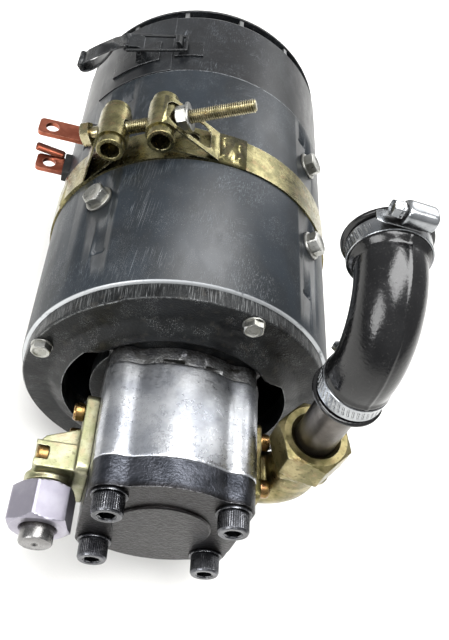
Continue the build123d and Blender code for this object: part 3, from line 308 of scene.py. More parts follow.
    def lay(self, under: Any, over: Any, mask: bpy.types.NodeSocket) -> bpy.types.NodeSocket:
        """Lay one colour over another where the mask is on.

        Args:
            under: colour socket or hex code below.
            over: colour socket or hex code on top.
            mask: where the top one shows.

        Returns:
            The colour output.
        """
        pair = [linear(c) if isinstance(c, str) else c for c in (under, over)]
        return self.add("ShaderNodeMix", {
            "data_type": "RGBA", 0: mask, 6: pair[0], 7: pair[1]}).outputs[2]

    def level(self, mask: bpy.types.NodeSocket, off: float, on: float) -> bpy.types.NodeSocket:
        """A number that goes from one level to another with the mask.

        Args:
            mask: the mask.
            off: level where the mask is nought.
            on: level where it is one.

        Returns:
            The value output.
        """
        return self.add("ShaderNodeMapRange", {
            "Value": mask, "To Min": off, "To Max": on}).outputs["Result"]

    def total(self, *sockets: bpy.types.NodeSocket) -> bpy.types.NodeSocket:
        """Sum of several numbers; returns the value output."""
        result = sockets[0]
        for more in sockets[1:]:
            result = self.add("ShaderNodeMath", {"operation": "ADD", 0: result, 1: more}).outputs[0]
        return result

    def relief(self, height: bpy.types.NodeSocket, depth: float,
               below: Optional[bpy.types.NodeSocket] = None) -> bpy.types.NodeSocket:
        """Surface relief from a height mask.

        Args:
            height: height, nought to one.
            depth: real depth in millimetres.
            below: normal of the relief underneath.

        Returns:
            The normal output.
        """
        settings = {"Height": height, "Strength": 1.0, "Distance": depth * MM}
        if below is not None:
            settings["Normal"] = below
        return self.add("ShaderNodeBump", settings).outputs[0]

    def surface(self, settings: dict[Any, Any]) -> bpy.types.Material:
        """Close the tree with a Principled surface.

        Args:
            settings: Principled inputs by name.

        Returns:
            The finished material.
        """
        shader = self.add("ShaderNodeBsdfPrincipled", settings)
        self.add("ShaderNodeOutputMaterial", {"Surface": shader.outputs[0]})
        return self.material


# ------------------------------------------------------------------ finishes
@dataclass(frozen=True)
class SprayPaint:
    """Sprayed paint on steel: fine orange peel, handling smears, scratches and rubbed edges."""

    name: str
    tone: str
    faded: str
    metal: str = "8d8f92"
    roughness: float = 0.42
    wear: float = 0.7
    scratch: float = 0.55
    dust: float = 0.25
    peel: float = 0.012
    bare_before: float = -400.0

    def build(self) -> bpy.types.Material:
        """Make the material; returns it."""
        g = Graph(self.name)
        # cloudy fading that keeps the large skin from looking like one flat coat
        fade = g.patches(38, 0.36, 0.66, 5.0, (1, 1.6, 1))
        colour = g.lay(self.tone, self.faded, g.share(fade, 0.6))
        # fingerprints and wiped oil, seen mostly in the gloss
        smear = g.patches(11, 0.44, 0.62, 6.0, (1, 2.2, 1))
        colour = g.lay(colour, self.faded, g.share(smear, 0.25))
        # grey dust in specks
        specks = g.patches(0.55, 0.66, 0.72, 2.0)
        colour = g.lay(colour, "9b9a94", g.share(specks, self.dust))
        # hairlines in two directions from handling
        lines = g.total(g.scratches(0.22, 34, self.scratch, (0, 24, 8)),
                        g.scratches(0.18, 22, self.scratch, (35, 0, 74)))
        colour = g.lay(colour, "70757a", g.share(lines, 0.55))
        # paint rubbed to metal along outer edges
        rubbed = g.edges(1.1)
        # the front rim is turned bare
        turned = g.share(g.rising("Y", self.bare_before + 0.35, self.bare_before - 0.1), 1.0,
                         g.patches(6, 0.25, 0.45, 4.0))
        rubbed = g.add("ShaderNodeMath", {"operation": "MAXIMUM", 0: rubbed, 1: turned}).outputs[0]
        colour = g.lay(colour, self.metal, g.share(rubbed, self.wear))
        rough = g.level(smear, self.roughness + 0.03, self.roughness - 0.03)
        grain = g.relief(g.patches(0.8, 0.3, 0.7, 2.0), self.peel)
        scored = g.relief(lines, -0.02, grain)
        return g.surface({"Base Color": colour, "Roughness": rough, "Normal": scored,
                          "Metallic": g.share(rubbed, 0.8 * self.wear), "Specular IOR Level": 0.38})


@dataclass(frozen=True)
class BlackIron:
    """Cast iron under thin black: sandy skin, oily sheen, bright rubbed and scored edges."""

    name: str
    tone: str = "17191b"
    faded: str = "2c2f31"
    metal: str = "8a8c8c"
    roughness: float = 0.46
    sand: float = 0.10
    ring: float = 86.9

    def build(self) -> bpy.types.Material:
        """Make the material; returns it."""
        g = Graph(self.name)
        # oil film: darker and shinier in irregular pools
        film = g.patches(16, 0.38, 0.62, 5.0)
        colour = g.lay(self.faded, self.tone, film)
        # brown-grey dirt baked on in spots
        dirt = g.patches(5, 0.55, 0.68, 5.0)
        colour = g.lay(colour, "3a362f", g.share(dirt, 0.3))
        # long handling scores along the shaft, bright where they cut to metal
        scores = g.scratches(0.35, 14, 0.75)
        # the turned ring is scored all along its width
        around = g.outward(self.ring, self.ring + 0.6)
        fine = g.share(g.patches(0.55, 0.50, 0.66, 4.0, (1, 24, 1)), 1.0, around)
        scores = g.total(scores, g.share(fine, 0.8, g.patches(30, 0.35, 0.6, 3.0)))
        colour = g.lay(colour, self.metal, g.share(scores, 0.45))
        rubbed = g.edges(1.3, 0.01, 0.12)
        colour = g.lay(colour, self.metal, g.share(rubbed, 0.9))
        rough = g.level(film, self.roughness + 0.12, self.roughness - 0.12)
        sand = g.relief(g.patches(1.1, 0.2, 0.8, 5.0), self.sand)
        return g.surface({"Base Color": colour, "Roughness": rough,
                          "Normal": g.relief(scores, -0.03, sand),
                          "Metallic": g.level(rubbed, 0.25, 1.0), "Specular IOR Level": 0.3})


@dataclass(frozen=True)
class BareMetal:
    """Bare or plated metal: tone drift, stains, painted shade in corners and at one end, tool lines or
    cast grain, bright edges.
    """

    name: str
    tone: str
    second: str
    stain: str = "3a3530"
    bright: str = "d9dadb"
    roughness: float = 0.32
    spread: float = 0.035
    stains: float = 0.4
    grain: float = 0.02
    grain_size: float = 0.9
    lines: float = 0.0
    line_stretch: Sequence[float] = (1, 26, 1)
    drift: float = 14.0
    pits: float = 0.0
    soot: Optional[Sequence[float]] = None
    # span along Y of painted shade laid over one end of the piece, in millimetres
    veil: Optional[Sequence[float]] = None

    def build(self) -> bpy.types.Material:
        """Make the material; returns it."""
        g = Graph(self.name)
        # slow drift between two tones of the metal or its plating
        drift = g.patches(self.drift, 0.34, 0.66, 5.0)
        colour = g.lay(self.tone, self.second, drift)
        # old oil and oxide in mottled spots; the corners get painted shade further down
        corner_shade = g.corners(5.0)
        mottle = g.share(g.patches(6.0, 0.42, 0.90, 7.0, rough=0.66), 1.0,
                         g.patches(21, 0.42, 0.70, 3.0))
        if self.soot:
            # baked oil and soot, thick at one end of the piece and broken up beyond
            crust = g.patches(3.2, 0.38, 0.60, 8.0, (1.6, 1, 1), rough=0.8)
            mottle = g.total(mottle, g.share(crust, 1.0, g.rising("Y", *self.soot)))
        colour = g.lay(colour, self.stain, g.share(mottle, self.stains))
        if self.veil:
            # painted shade: an even dark film over one end of the piece, fading out along Y
            film = g.share(g.rising("Y", *self.veil), 1.0, g.patches(15, 0.05, 0.45, 4.0))
            colour = g.lay(colour, self.stain, g.share(film, 0.85))
        # painted shade: colour darkened in corners by ambient occlusion
        colour = g.lay(colour, self.stain, g.share(corner_shade, 0.75))
        # bright metal where hands and spanners rub the edges
        rubbed = g.edges(0.7)
        colour = g.lay(colour, self.bright, g.share(rubbed, 0.75))
        film = g.patches(2.4, 0.35, 0.68, 5.0)
        rough = g.total(g.level(film, self.roughness - self.spread, self.roughness + self.spread),
                        g.level(mottle, 0.0, 0.35 * self.stains),
                        g.level(corner_shade, 0.0, 0.22))
        normal = g.relief(g.patches(self.grain_size, 0.25, 0.75, 4.0), self.grain)
        if self.lines:
            # fine parallel tool marks
            marks = g.patches(0.16, 0.3, 0.7, 1.0, self.line_stretch)
            normal = g.relief(marks, self.lines, normal)
        if self.pits:
            # blow holes and dents of a rough skin
            normal = g.relief(g.patches(1.6, 0.62, 0.74, 2.0), -self.pits, normal)
        return g.surface({"Base Color": colour, "Metallic": 1.0, "Roughness": rough, "Normal": normal})


@dataclass(frozen=True)
class Passivated:
    """Yellow zinc: a thin chromate film that drifts between brass, olive and rose."""

    name: str
    gold: str
    olive: str
    rose: str
    dull: str = "6a5f3f"
    roughness: float = 0.30
    grain: float = 0.015

    def build(self) -> bpy.types.Material:
        """Make the material; returns it."""
        g = Graph(self.name)
        # the film's thickness drifts, so its tint does
        colour = g.lay(self.gold, self.olive, g.patches(9, 0.36, 0.62, 4.0))
        colour = g.lay(colour, self.rose, g.share(g.patches(5.5, 0.52, 0.68, 4.0), 0.55))
        # dull dry spots, and painted shade in corners by ambient occlusion
        dry = g.patches(1.9, 0.56, 0.70, 5.0)
        corner_shade = g.corners(4.0)
        colour = g.lay(colour, self.dull, g.share(dry, 0.55))
        colour = g.lay(colour, "2e291c", g.share(corner_shade, 0.7))
        rubbed = g.edges(0.6)
        colour = g.lay(colour, "dcd6bd", g.share(rubbed, 0.7))
        rough = g.total(g.level(dry, self.roughness, self.roughness + 0.18),
                        g.level(g.patches(3.0, 0.3, 0.7, 5.0), -0.06, 0.08))
        lines = g.scratches(0.16, 12, 0.7, (0, 0, 62))
        normal = g.relief(g.patches(0.7, 0.25, 0.75, 4.0), self.grain)
        return g.surface({"Base Color": colour, "Metallic": 1.0, "Roughness": rough,
                          "Normal": g.relief(lines, -0.015, normal)})


@dataclass(frozen=True)
class Rubber:
    """Moulded black rubber: glossy skin, bloom, dust and faint mould texture."""

    name: str
    tone: str = "040405"
    bloom: str = "121213"
    roughness: float = 0.13

    def build(self) -> bpy.types.Material:
        """Make the material; returns it."""
        g = Graph(self.name)
        # grey bloom that dulls the gloss in clouds
        bloom = g.patches(13, 0.44, 0.66, 5.0)
        colour = g.lay(self.tone, self.bloom, g.share(bloom, 0.6))
        # dust specks and short rub marks
        specks = g.patches(0.5, 0.67, 0.73, 2.0)
        colour = g.lay(colour, "6a6862", g.share(specks, 0.3))
        rub = g.patches(1.2, 0.60, 0.72, 4.0, (1, 1, 5))
        colour = g.lay(colour, "22211f", g.share(rub, 0.5))
        rough = g.total(g.level(bloom, self.roughness, self.roughness + 0.07),
                        g.level(rub, 0.0, 0.18))
        skin = g.relief(g.patches(1.4, 0.3, 0.7, 3.0), 0.03)
        return g.surface({"Base Color": colour, "Roughness": rough, "Normal": skin,
                          "Specular IOR Level": 0.45})


@dataclass(frozen=True)
class Moulding:
    """Moulded insulator or pressed carbon: matt, speckled, slightly granular."""

    name: str
    tone: str
    fleck: str
    roughness: float = 0.62

    def build(self) -> bpy.types.Material:
        """Make the material; returns it."""
        g = Graph(self.name)
        # mineral flecks in the resin
        colour = g.lay(self.tone, self.fleck, g.patches(0.8, 0.52, 0.66, 4.0))
        rough = g.level(g.patches(5, 0.35, 0.65), self.roughness - 0.1, self.roughness + 0.12)
        return g.surface({"Base Color": colour, "Roughness": rough,
                          "Normal": g.relief(g.patches(0.6, 0.3, 0.7, 3.0), 0.03)})


@dataclass(frozen=True)
class StudioFloor:
    """Plain pale paper floor with a trace of fibre."""

    name: str = "studio_paper"
    tone: str = "ecebe8"

    def build(self) -> bpy.types.Material:
        """Make the material; returns it."""
        g = Graph(self.name)
        # faint cloudiness and fibre keep the sheet from being dead flat
        colour = g.lay(self.tone, "e4e3e0", g.patches(160, 0.4, 0.6, 3.0))
        return g.surface({"Base Color": colour, "Roughness": 0.9,
                          "Normal": g.relief(g.patches(1.5, 0.3, 0.7, 3.0), 0.02),
                          "Specular IOR Level": 0.2})


class Coat(Enum):
    """Every finish on the unit, by the record's material slot."""

    CAN_PAINT = SprayPaint("can_paint", "0f1418", "1d242b", "c4c7c9", roughness=0.36,
                           bare_before=-104.9, wear=0.85)
    BELL_IRON = BlackIron("bell_iron", "070809", "121415", roughness=0.40)
    BOLT_ZINC = BareMetal("bolt_zinc", "b4b4b0", "92928b", stains=0.45, roughness=0.30, grain=0.03)
    COVER_PAINT = SprayPaint("cover_paint", "0a0b0d", "15181b", roughness=0.34, dust=0.3)
    SHIELD_METAL = BareMetal("shield_metal", "c9c9c8", "a5a6a5", stains=0.3, roughness=0.32,
                             lines=0.01)
    LATCH_BLACK = SprayPaint("latch_black", "08090a", "131517", roughness=0.28, wear=0.8,
                             scratch=0.4, dust=0.2)
    TERMINAL_COPPER = BareMetal("terminal_copper", "a86650", "7c4433", "38201a", "dba48d",
                                roughness=0.36, stains=0.6, grain=0.02, lines=0.006)
    INSULATOR = Moulding("insulator", "100f0e", "1e1b18")
    YELLOW_ZINC = Passivated("yellow_zinc", "8f8863", "6b6748", "8a7557", roughness=0.27)
    BOLT_YELLOW = Passivated("bolt_yellow", "a59d80", "847f62", "98825f", roughness=0.24)
    CORE_STEEL = BareMetal("core_steel", "3b3c3e", "242527", roughness=0.5, stains=0.5)
    WINDING_COPPER = BareMetal("winding_copper", "4a2012", "2a120b", "0d0503", "8a4830",
                               roughness=0.38, line_stretch=(26, 1, 1), lines=0.05)
    COMMUTATOR_COPPER = BareMetal("commutator_copper", "a55c3c", "70402c", roughness=0.35)
    SHAFT_STEEL = BareMetal("shaft_steel", "b3b4b6", "8c8e91", roughness=0.25, lines=0.006,
                            line_stretch=(30, 1, 30))
    FAN_ALU = BareMetal("fan_alu", "a7a9aa", "85878a", roughness=0.45, grain=0.05)
    BRUSH_BRASS = BareMetal("brush_brass", "a98743", "7f632f", roughness=0.35)
    CARBON = Moulding("carbon", "0e0e0f", "1e1e20", 0.55)
    SPRING_STEEL = BareMetal("spring_steel", "5a5f68", "3d4148", roughness=0.3)
    COVER_CAST = BareMetal("cover_cast", "9a9b9b", "6f7074", "26241f", "dcdcda", roughness=0.36,
                           stains=0.85, grain=0.12, grain_size=1.3, pits=0.08, drift=9,
                           soot=(-160.0, -120.0))
    PUMP_ALU = BareMetal("pump_alu", "b9bbbe", "9a9da3", "33312e", "e4e4e3", roughness=0.29,
                         stains=0.62, grain=0.02, lines=0.010, drift=16, soot=(-149.0, -126.0))
    # the rear cover's end face gets painted shade over its last few millimetres
    COVER_DARK = BareMetal("cover_dark", "4a4c52", "313338", "1c1917", "a5a6a9", roughness=0.34,
                           stains=0.5, grain=0.14, grain_size=1.4, lines=0.008, drift=9,
                         veil=(-193.0, -196.5))
    CAP_SCREW = BareMetal("cap_screw", "55565a", "2f3033", "141312", "cfd0d2", roughness=0.24,
                          stains=0.5, grain=0.01)
    SEAL_RUBBER = Rubber("seal_rubber")
    ELBOW_ZINC = Passivated("elbow_zinc", "a5a389", "8b8c6c", "9c8c72", "6a6652", roughness=0.36,
                            grain=0.05)
    SCREW_GOLD = Passivated("screw_gold", "9a7a4c", "77603a", "9c6e54", roughness=0.28)
    NUT_SATIN = BareMetal("nut_satin", "a3a0aa", "93909b", "77737b", "dddce2", roughness=0.38,
                          stains=0.08, grain=0.01)
    PLUG_STEEL = BareMetal("plug_steel", "7c7b7a", "646362", roughness=0.26, lines=0.01,
                           line_stretch=(30, 1, 30), stains=0.25)
    ELBOW_OLIVE = Passivated("elbow_olive", "8f8560", "625d3c", "7c694a", "453f2b", roughness=0.33,
                             grain=0.05)
    TUBE_STEEL = BareMetal("tube_steel", "5f5b57", "45413d", "201d1a", "8f8b85", roughness=0.34,
                           stains=0.5, grain=0.03)
    HOSE_RUBBER = Rubber("hose_rubber")
    CLIP_STEEL = BareMetal("clip_steel", "9fa1a3", "7d8083", roughness=0.22, stains=0.3,
                           grain=0.01, lines=0.004)


class Workshop:
    """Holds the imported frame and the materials, and hands finished pieces over to the frame."""

    def __init__(self, frame: dict[str, Any]) -> None:
        """Keep the frame and note which slot and body each node has.
        """
        self.frame = frame
        record = frame["record"]
        self.slot_of = {part["node"]: part["material_slot"] for part in record["subparts"]}
        self.body_of = {n: b for b, ns in record["behaviour"]["bodies"].items() for n in ns}
        self.materials: dict[str, bpy.types.Material] = {}

    def finish(self, slot: str) -> bpy.types.Material:
        """Material of a record slot, made once; returns it."""
        if slot not in self.materials:
            self.materials[slot] = Coat[slot.upper()].value.build()
        return self.materials[slot]

    def coat_node(self, node: str) -> None:
        """Give a kept node the finish of its slot."""
        obj = self.frame["nodes"][node]
        obj.data.materials.clear()
        obj.data.materials.append(self.finish(self.slot_of[node]))

    def install(self, obj: bpy.types.Object, node: str, *more: str) -> None:
        """Dress a new piece, let it ride on its node's body and stand for the node.

        Args:
            obj: the piece, in place.
            node: the node it stands for, which gives its body and slot.
            more: further nodes of the same body that it stands for.
        """
        obj.data.materials.clear()
        obj.data.materials.append(self.finish(self.slot_of[node]))
        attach(obj, self.body_of[node])
        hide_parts(node, *more)

    def add(self, obj: bpy.types.Object, node: str) -> None:
        """Dress a piece that only adds to a node, and let it ride with that node.

        Args:
            obj: the piece, in place.
            node: the node it belongs to.
        """
        obj.data.materials.clear()
        obj.data.materials.append(self.finish(self.slot_of[node]))
        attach(obj, self.body_of[node])

    def soften(self, node: str, width: float = 0.4, angle: float = 34.0, segments: int = 2) -> None:
        """Replace a node by a copy whose sharp edges carry a real rounding.

        The rounding is kept off edges with less and less room, and then narrowed, until no face
        of the copy is folded over its neighbour.

        Args:
            node: the node.
            width: widest rounding in millimetres.
            angle: edges sharper than this are rounded, in degrees.
            segments: facets across the rounding.
        """
        trials = [(width * share, room) for share in ROUNDING_SHARES for room in ROOMS]
        for size, room in trials + [(0.0, 0.0)]:
            obj = self.rounded(node, size, angle, segments, room)
            if size == 0 or not folds(obj.data):
                break
            bpy.data.objects.remove(obj)
        LOG.info("rounded %s by %.2f mm, room %.1f, %d folds", node, size, room, folds(obj.data))
        smooth(obj, CRISP)
        if size > 0:
            # flat faces stay flat beside a rounding
            even = obj.modifiers.new("even", "WEIGHTED_NORMAL")
            even.keep_sharp = True
            settle(obj)
        self.install(obj, node)

    def rounded(self, node: str, width: float, angle: float, segments: int,
                room: float) -> bpy.types.Object:
        """Merged copy of a node, rounded along the sharp edges that have room for it.

        An edge has room where every flat-lying edge that meets its ends is longer than the
        rounding is wide, by so many times. With no rounding the node's own faces are kept.

        Args:
            node: the node.
            width: width of the rounding in millimetres, or nought for none.
            angle: edges sharper than this are rounded, in degrees.
            segments: facets across the rounding.
            room: how many times its width a rounding needs beside it.

        Returns:
            The copy, in the scene.
        """
        work = bmesh.new()
        work.from_mesh(self.frame["nodes"][node].data)
        bmesh.ops.remove_doubles(work, verts=work.verts, dist=MERGE)
        if width > 0:
            bmesh.ops.dissolve_limit(work, angle_limit=math.radians(FLAT), verts=work.verts,
                                     edges=work.edges)
        mesh = bpy.data.meshes.new(node + "_soft")
        work.to_mesh(mesh)
        work.free()
        obj = bpy.data.objects.new(node + "_soft", mesh)
        bpy.context.scene.collection.objects.link(obj)
        if width <= 0:
            return obj
        ends = np.empty(len(mesh.edges) * 2, np.int32)
        mesh.edges.foreach_get("vertices", ends)
        ends = ends.reshape(-1, 2)
        place = np.empty(len(mesh.vertices) * 3, np.float32)
        mesh.vertices.foreach_get("co", place)
        place = place.reshape(-1, 3)
        length = np.linalg.norm(place[ends[:, 0]] - place[ends[:, 1]], axis=1)
        edge, _, cosine = neighbours(mesh)
        sharp = np.zeros(len(ends), bool)
        sharp[edge[cosine < math.cos(math.radians(angle))]] = True
        shortest = np.full(len(place), np.inf)
        np.minimum.at(shortest, ends[~sharp].ravel(), np.repeat(length[~sharp], 2))
        roomy = sharp & (shortest[ends].min(1) > room * width * MM)
        weight = mesh.attributes.new("bevel_weight_edge", "FLOAT", "EDGE")
        weight.data.foreach_set("value", roomy.astype(np.float32))
        bevel = obj.modifiers.new("rounding", "BEVEL")
        bevel.width = width * MM
        bevel.segments = segments
        bevel.limit_method = "WEIGHT"
        bevel.use_clamp_overlap = False
        bevel.miter_outer = "MITER_SHARP"
        settle(obj)
        return obj

    def cast(self, node: str, voxel: float = 0.55, passes: int = 6) -> None:
        """Replace a node by a copy with the melted edges and fillets of a casting.

        Args:
            node: the node.
            voxel: grid of the remesh in millimetres.
            passes: smoothing passes, which widen the fillets.
        """
        obj = bpy.data.objects.new(node + "_cast", self.frame["nodes"][node].data.copy())
        bpy.context.scene.collection.objects.link(obj)
        weld = obj.modifiers.new("weld", "WELD")
        weld.merge_threshold = MERGE
        remesh = obj.modifiers.new("skin", "REMESH")
        remesh.mode = "VOXEL"
        remesh.voxel_size = voxel * MM
        remesh.use_smooth_shade = True
        relax = obj.modifiers.new("relax", "SMOOTH")
        relax.factor = 0.6
        relax.iterations = passes
        settle(obj)
        smooth(obj, 60)
        self.install(obj, node)


# ------------------------------------------------------------------ mesh tools
def settle(obj: bpy.types.Object) -> None:
    """Turn a piece's live modifiers into its own mesh."""
    bpy.context.view_layer.update()
    graph = bpy.context.evaluated_depsgraph_get()
    mesh = bpy.data.meshes.new_from_object(obj.evaluated_get(graph))
    obj.modifiers.clear()
    obj.data = mesh


def neighbours(mesh: bpy.types.Mesh) -> tuple[np.ndarray, np.ndarray, np.ndarray]:
    """Pairs of faces that share an edge.

    Corners are sorted by their edge, so that the two faces of an edge come side by side.

    Args:
        mesh: a closed mesh.

    Returns:
        The edge of each pair, the smaller of the two areas, and the cosine between them.
    """
    edge = np.empty(len(mesh.loops), np.int32)
    mesh.loops.foreach_get("edge_index", edge)
    corners_of = np.empty(len(mesh.polygons), np.int32)
    mesh.polygons.foreach_get("loop_total", corners_of)
    normal = np.empty(len(mesh.polygons) * 3, np.float32)
    mesh.polygons.foreach_get("normal", normal)
    normal = normal.reshape(-1, 3)
    area = np.empty(len(mesh.polygons), np.float32)
    mesh.polygons.foreach_get("area", area)
    order = np.argsort(edge, kind="stable")
    edge, owner = edge[order], np.repeat(np.arange(len(corners_of)), corners_of)[order]
    same = edge[1:] == edge[:-1]
    one, other = owner[:-1][same], owner[1:][same]
    return (edge[1:][same], np.minimum(area[one], area[other]),
            np.einsum("ij,ij->i", normal[one], normal[other]))


def folds(mesh: bpy.types.Mesh) -> int:
    """Number of faces laid back over a neighbour, leaving out specks; returns it."""
    _, area, cosine = neighbours(mesh)
    return int(((area > SPECK) & (cosine < FOLD_COSINE)).sum())


def smooth(obj: bpy.types.Object, angle: float) -> None:
    """Shade smoothly, keeping edges sharper than the angle, in degrees."""
    mesh = obj.data
    mesh.polygons.foreach_set("use_smooth", np.ones(len(mesh.polygons), bool))
    mesh.set_sharp_from_angle(angle=math.radians(angle))


@dataclass(frozen=True)
class Place:
    """A local frame: origin in millimetres, direction of its X and of its Z."""

    origin: Sequence[float]
    x_dir: Sequence[float] = (1, 0, 0)
    z_dir: Sequence[float] = (0, 0, 1)

    def axes(self) -> np.ndarray:
        """Rows are the local X, Y and Z directions, made square to each other."""
        z = np.array(self.z_dir, float)
        z /= np.linalg.norm(z)
        x = np.array(self.x_dir, float)
        x -= z * (x @ z)
        x /= np.linalg.norm(x)
        return np.stack([x, np.cross(z, x), z])

    def put(self, points: np.ndarray) -> np.ndarray:
        """Local points, last axis three long, in the unit's frame: origin + p · axes."""
        return np.asarray(self.origin, float) + points @ self.axes()


class Shell:
    """Closed surfaces collected into one mesh; each one is turned to face outwards."""

    def __init__(self) -> None:
        """Start with nothing in it."""
        self.points: list[np.ndarray] = []
        self.faces: list[list[int]] = []
        self.count = 0

    def close(self, points: np.ndarray, faces: list[np.ndarray]) -> None:
        """Add a closed surface, turned so that its volume is positive.

        The volume is a sixth of the sum of a · (b × c) over the fan triangles of each face.

        Args:
            points: corners in millimetres.
            faces: arrays of corner numbers, one row per face.
        """
        volume = 0.0
        for block in faces:
            for k in range(1, block.shape[1] - 1):
                a, b, c = (points[block[:, i]] for i in (0, k, k + 1))
                volume += float(np.einsum("ij,ij->", a, np.cross(b, c)))
        for block in faces:
            turned = block if volume > 0 else block[:, ::-1]
            self.faces += (turned + self.count).tolist()
        self.points.append(points)
        self.count += len(points)

    def tube(self, rings: np.ndarray) -> None:
        """Rings closed on themselves and joined in a loop, as a pipe with a wall or a washer.

        Args:
            rings: array of rings × points round × 3; the last ring joins the first.
        """
        rows, cols = rings.shape[:2]
        self.close(rings.reshape(-1, 3), [grid_faces(rows, cols, True)])

    def solid(self, rings: np.ndarray) -> None:
        """Rings closed on themselves, with both ends shut by a fan round their middle.

        Args:
            rings: array of rings × points round × 3, from one end to the other.
        """
        rows, cols = rings.shape[:2]
        ends = np.stack([rings[0].mean(0), rings[-1].mean(0)])
        points = np.concatenate([rings.reshape(-1, 3), ends])
        around = np.arange(cols)
        after = (around + 1) % cols
        first = np.stack([np.full(cols, rows * cols), after, around], 1)
        last = np.stack([np.full(cols, rows * cols + 1), around + (rows - 1) * cols,
                         after + (rows - 1) * cols], 1)
        self.close(points, [grid_faces(rows, cols, False), first, last])

    def make(self, name: str, angle: float = 40.0) -> bpy.types.Object:
        """Put everything collected into one object.

        Args:
            name: name of the object.
            angle: edges sharper than this stay crisp, in degrees.

        Returns:
            The object, at the origin, in metres.
        """
        mesh = bpy.data.meshes.new(name)
        mesh.from_pydata((np.concatenate(self.points) * MM).tolist(), [], self.faces)
        mesh.update()
        obj = bpy.data.objects.new(name, mesh)
        bpy.context.scene.collection.objects.link(obj)
        smooth(obj, angle)
        return obj


def grid_faces(rows: int, cols: int, looped: bool) -> np.ndarray:
    """Quads of a grid whose columns run round in a loop.

    Args:
        rows: rows of points.
        cols: points round each row.
        looped: whether the last row joins the first.

    Returns:
        One row of four corner numbers per quad.
    """
    i, j = np.meshgrid(np.arange(rows if looped else rows - 1), np.arange(cols), indexing="ij")
    below, after = (i + 1) % rows, (j + 1) % cols
    return np.stack([i * cols + j, i * cols + after, below * cols + after, below * cols + j],
                    -1).reshape(-1, 4)


def rounded_profile(corners: Sequence[Sequence[float]], radius: float, steps: int = 3) -> np.ndarray:
    """Closed outline with each corner cut by a small quadratic curve.

    Args:
        corners: corner points in order.
        radius: how far before and after a corner the curve runs.
        steps: points on each curve.

    Returns:
        Points of the outline: (1-t)² before + 2t(1-t) corner + t² after, at each corner.
    """
    points = np.array(corners, float)
    back, on = np.roll(points, 1, 0) - points, np.roll(points, -1, 0) - points
    back_len, on_len = (np.linalg.norm(v, axis=1, keepdims=True) for v in (back, on))
    before = points + back / back_len * np.minimum(radius, 0.45 * back_len)
    after = points + on / on_len * np.minimum(radius, 0.45 * on_len)
    t = np.linspace(0, 1, steps)[None, :, None]
    curve = (1 - t) ** 2 * before[:, None] + 2 * t * (1 - t) * points[:, None] + t ** 2 * after[:, None]
    return curve.reshape(-1, points.shape[1])


def turned_rings(profile: np.ndarray, place: Place, columns: int = 96) -> np.ndarray:
    """Rings of a surface of revolution: (r cos a, r sin a, h) for each (r, h) of the profile.

    Args:
        profile: rows of (radius, height).
        place: local frame; the axis is its Z.
        columns: points round.

    Returns:
        Array of rings × points round × 3.
    """
    a = np.linspace(0, 2 * np.pi, columns, endpoint=False)
    r, h = profile[:, :1], profile[:, 1:2]
    heights = np.broadcast_to(h, (len(h), columns))
    return place.put(np.stack([r * np.cos(a), r * np.sin(a), heights], -1))


def hex_reach(angles: np.ndarray, flats: float, turn: float = 0.0) -> np.ndarray:
    """Distance from the middle to a hexagon's side: half the flats over the cosine of the angle off it.

    Args:
        angles: directions in radians.
        flats: width across the flats.
        turn: direction of one flat's middle in degrees.

    Returns:
        Distance in each direction, with corners taken down by one part in eighty.
    """
    off = (angles - math.radians(turn) + np.pi / 6) % (np.pi / 3) - np.pi / 6
    return np.minimum(flats / 2 / np.cos(off), flats / math.sqrt(3) * 0.9875)


# ------------------------------------------------------------------ fasteners
@dataclass(frozen=True)
class HexHead:
    """Hexagon head or nut blank with a 30° chamfer and, on a head, a shallow dish."""

    flats: float
    height: float
    dish: float = 0.35
    turn: float = 0.0
    both: bool = False

    def rings(self, place: Place, columns: int = 96) -> np.ndarray:
        """Rings from the seat to the middle of the top.

        The reach in each direction is the smaller of the hexagon's and a cone that
        starts at 0.47 of the flats at the top and widens at 60° from the axis.

        Args:
            place: local frame on the seat; the head grows along Z.
            columns: points round.

        Returns:
            Array of rings × points round × 3.
        """
        a = np.linspace(0, 2 * np.pi, columns, endpoint=False)
        hexagon = hex_reach(a, self.flats, self.turn)
        rim = 0.475 * self.flats
        zone = 0.11 * self.flats
        drop = np.linspace(zone, 0, 9)
        rows = [(0.0, 0.0), (0.0, 0.9 * rim)]
        if self.both:
            rows += [(zone * t, rim + zone * t * math.sqrt(3)) for t in np.linspace(0, 1, 7)]
        else:
            rows += [(0.0, 9e3), (0.12, 9e3)]
        rows += [(self.height - d, rim + d * math.sqrt(3)) for d in drop]
        rows += [(self.height - 0.1 * self.dish, 0.86 * rim), (self.height - self.dish, 0.72 * rim),
                 (self.height - self.dish, 0.3 * rim)]
        h = np.array([r[0] for r in rows])[:, None]
        cone = np.array([r[1] for r in rows])[:, None]
        reach = np.minimum(hexagon[None, :], cone)
        reach[0] = 0.5 * rim
        return place.put(np.stack([reach * np.cos(a), reach * np.sin(a),
                                   np.broadcast_to(h, reach.shape)], -1))


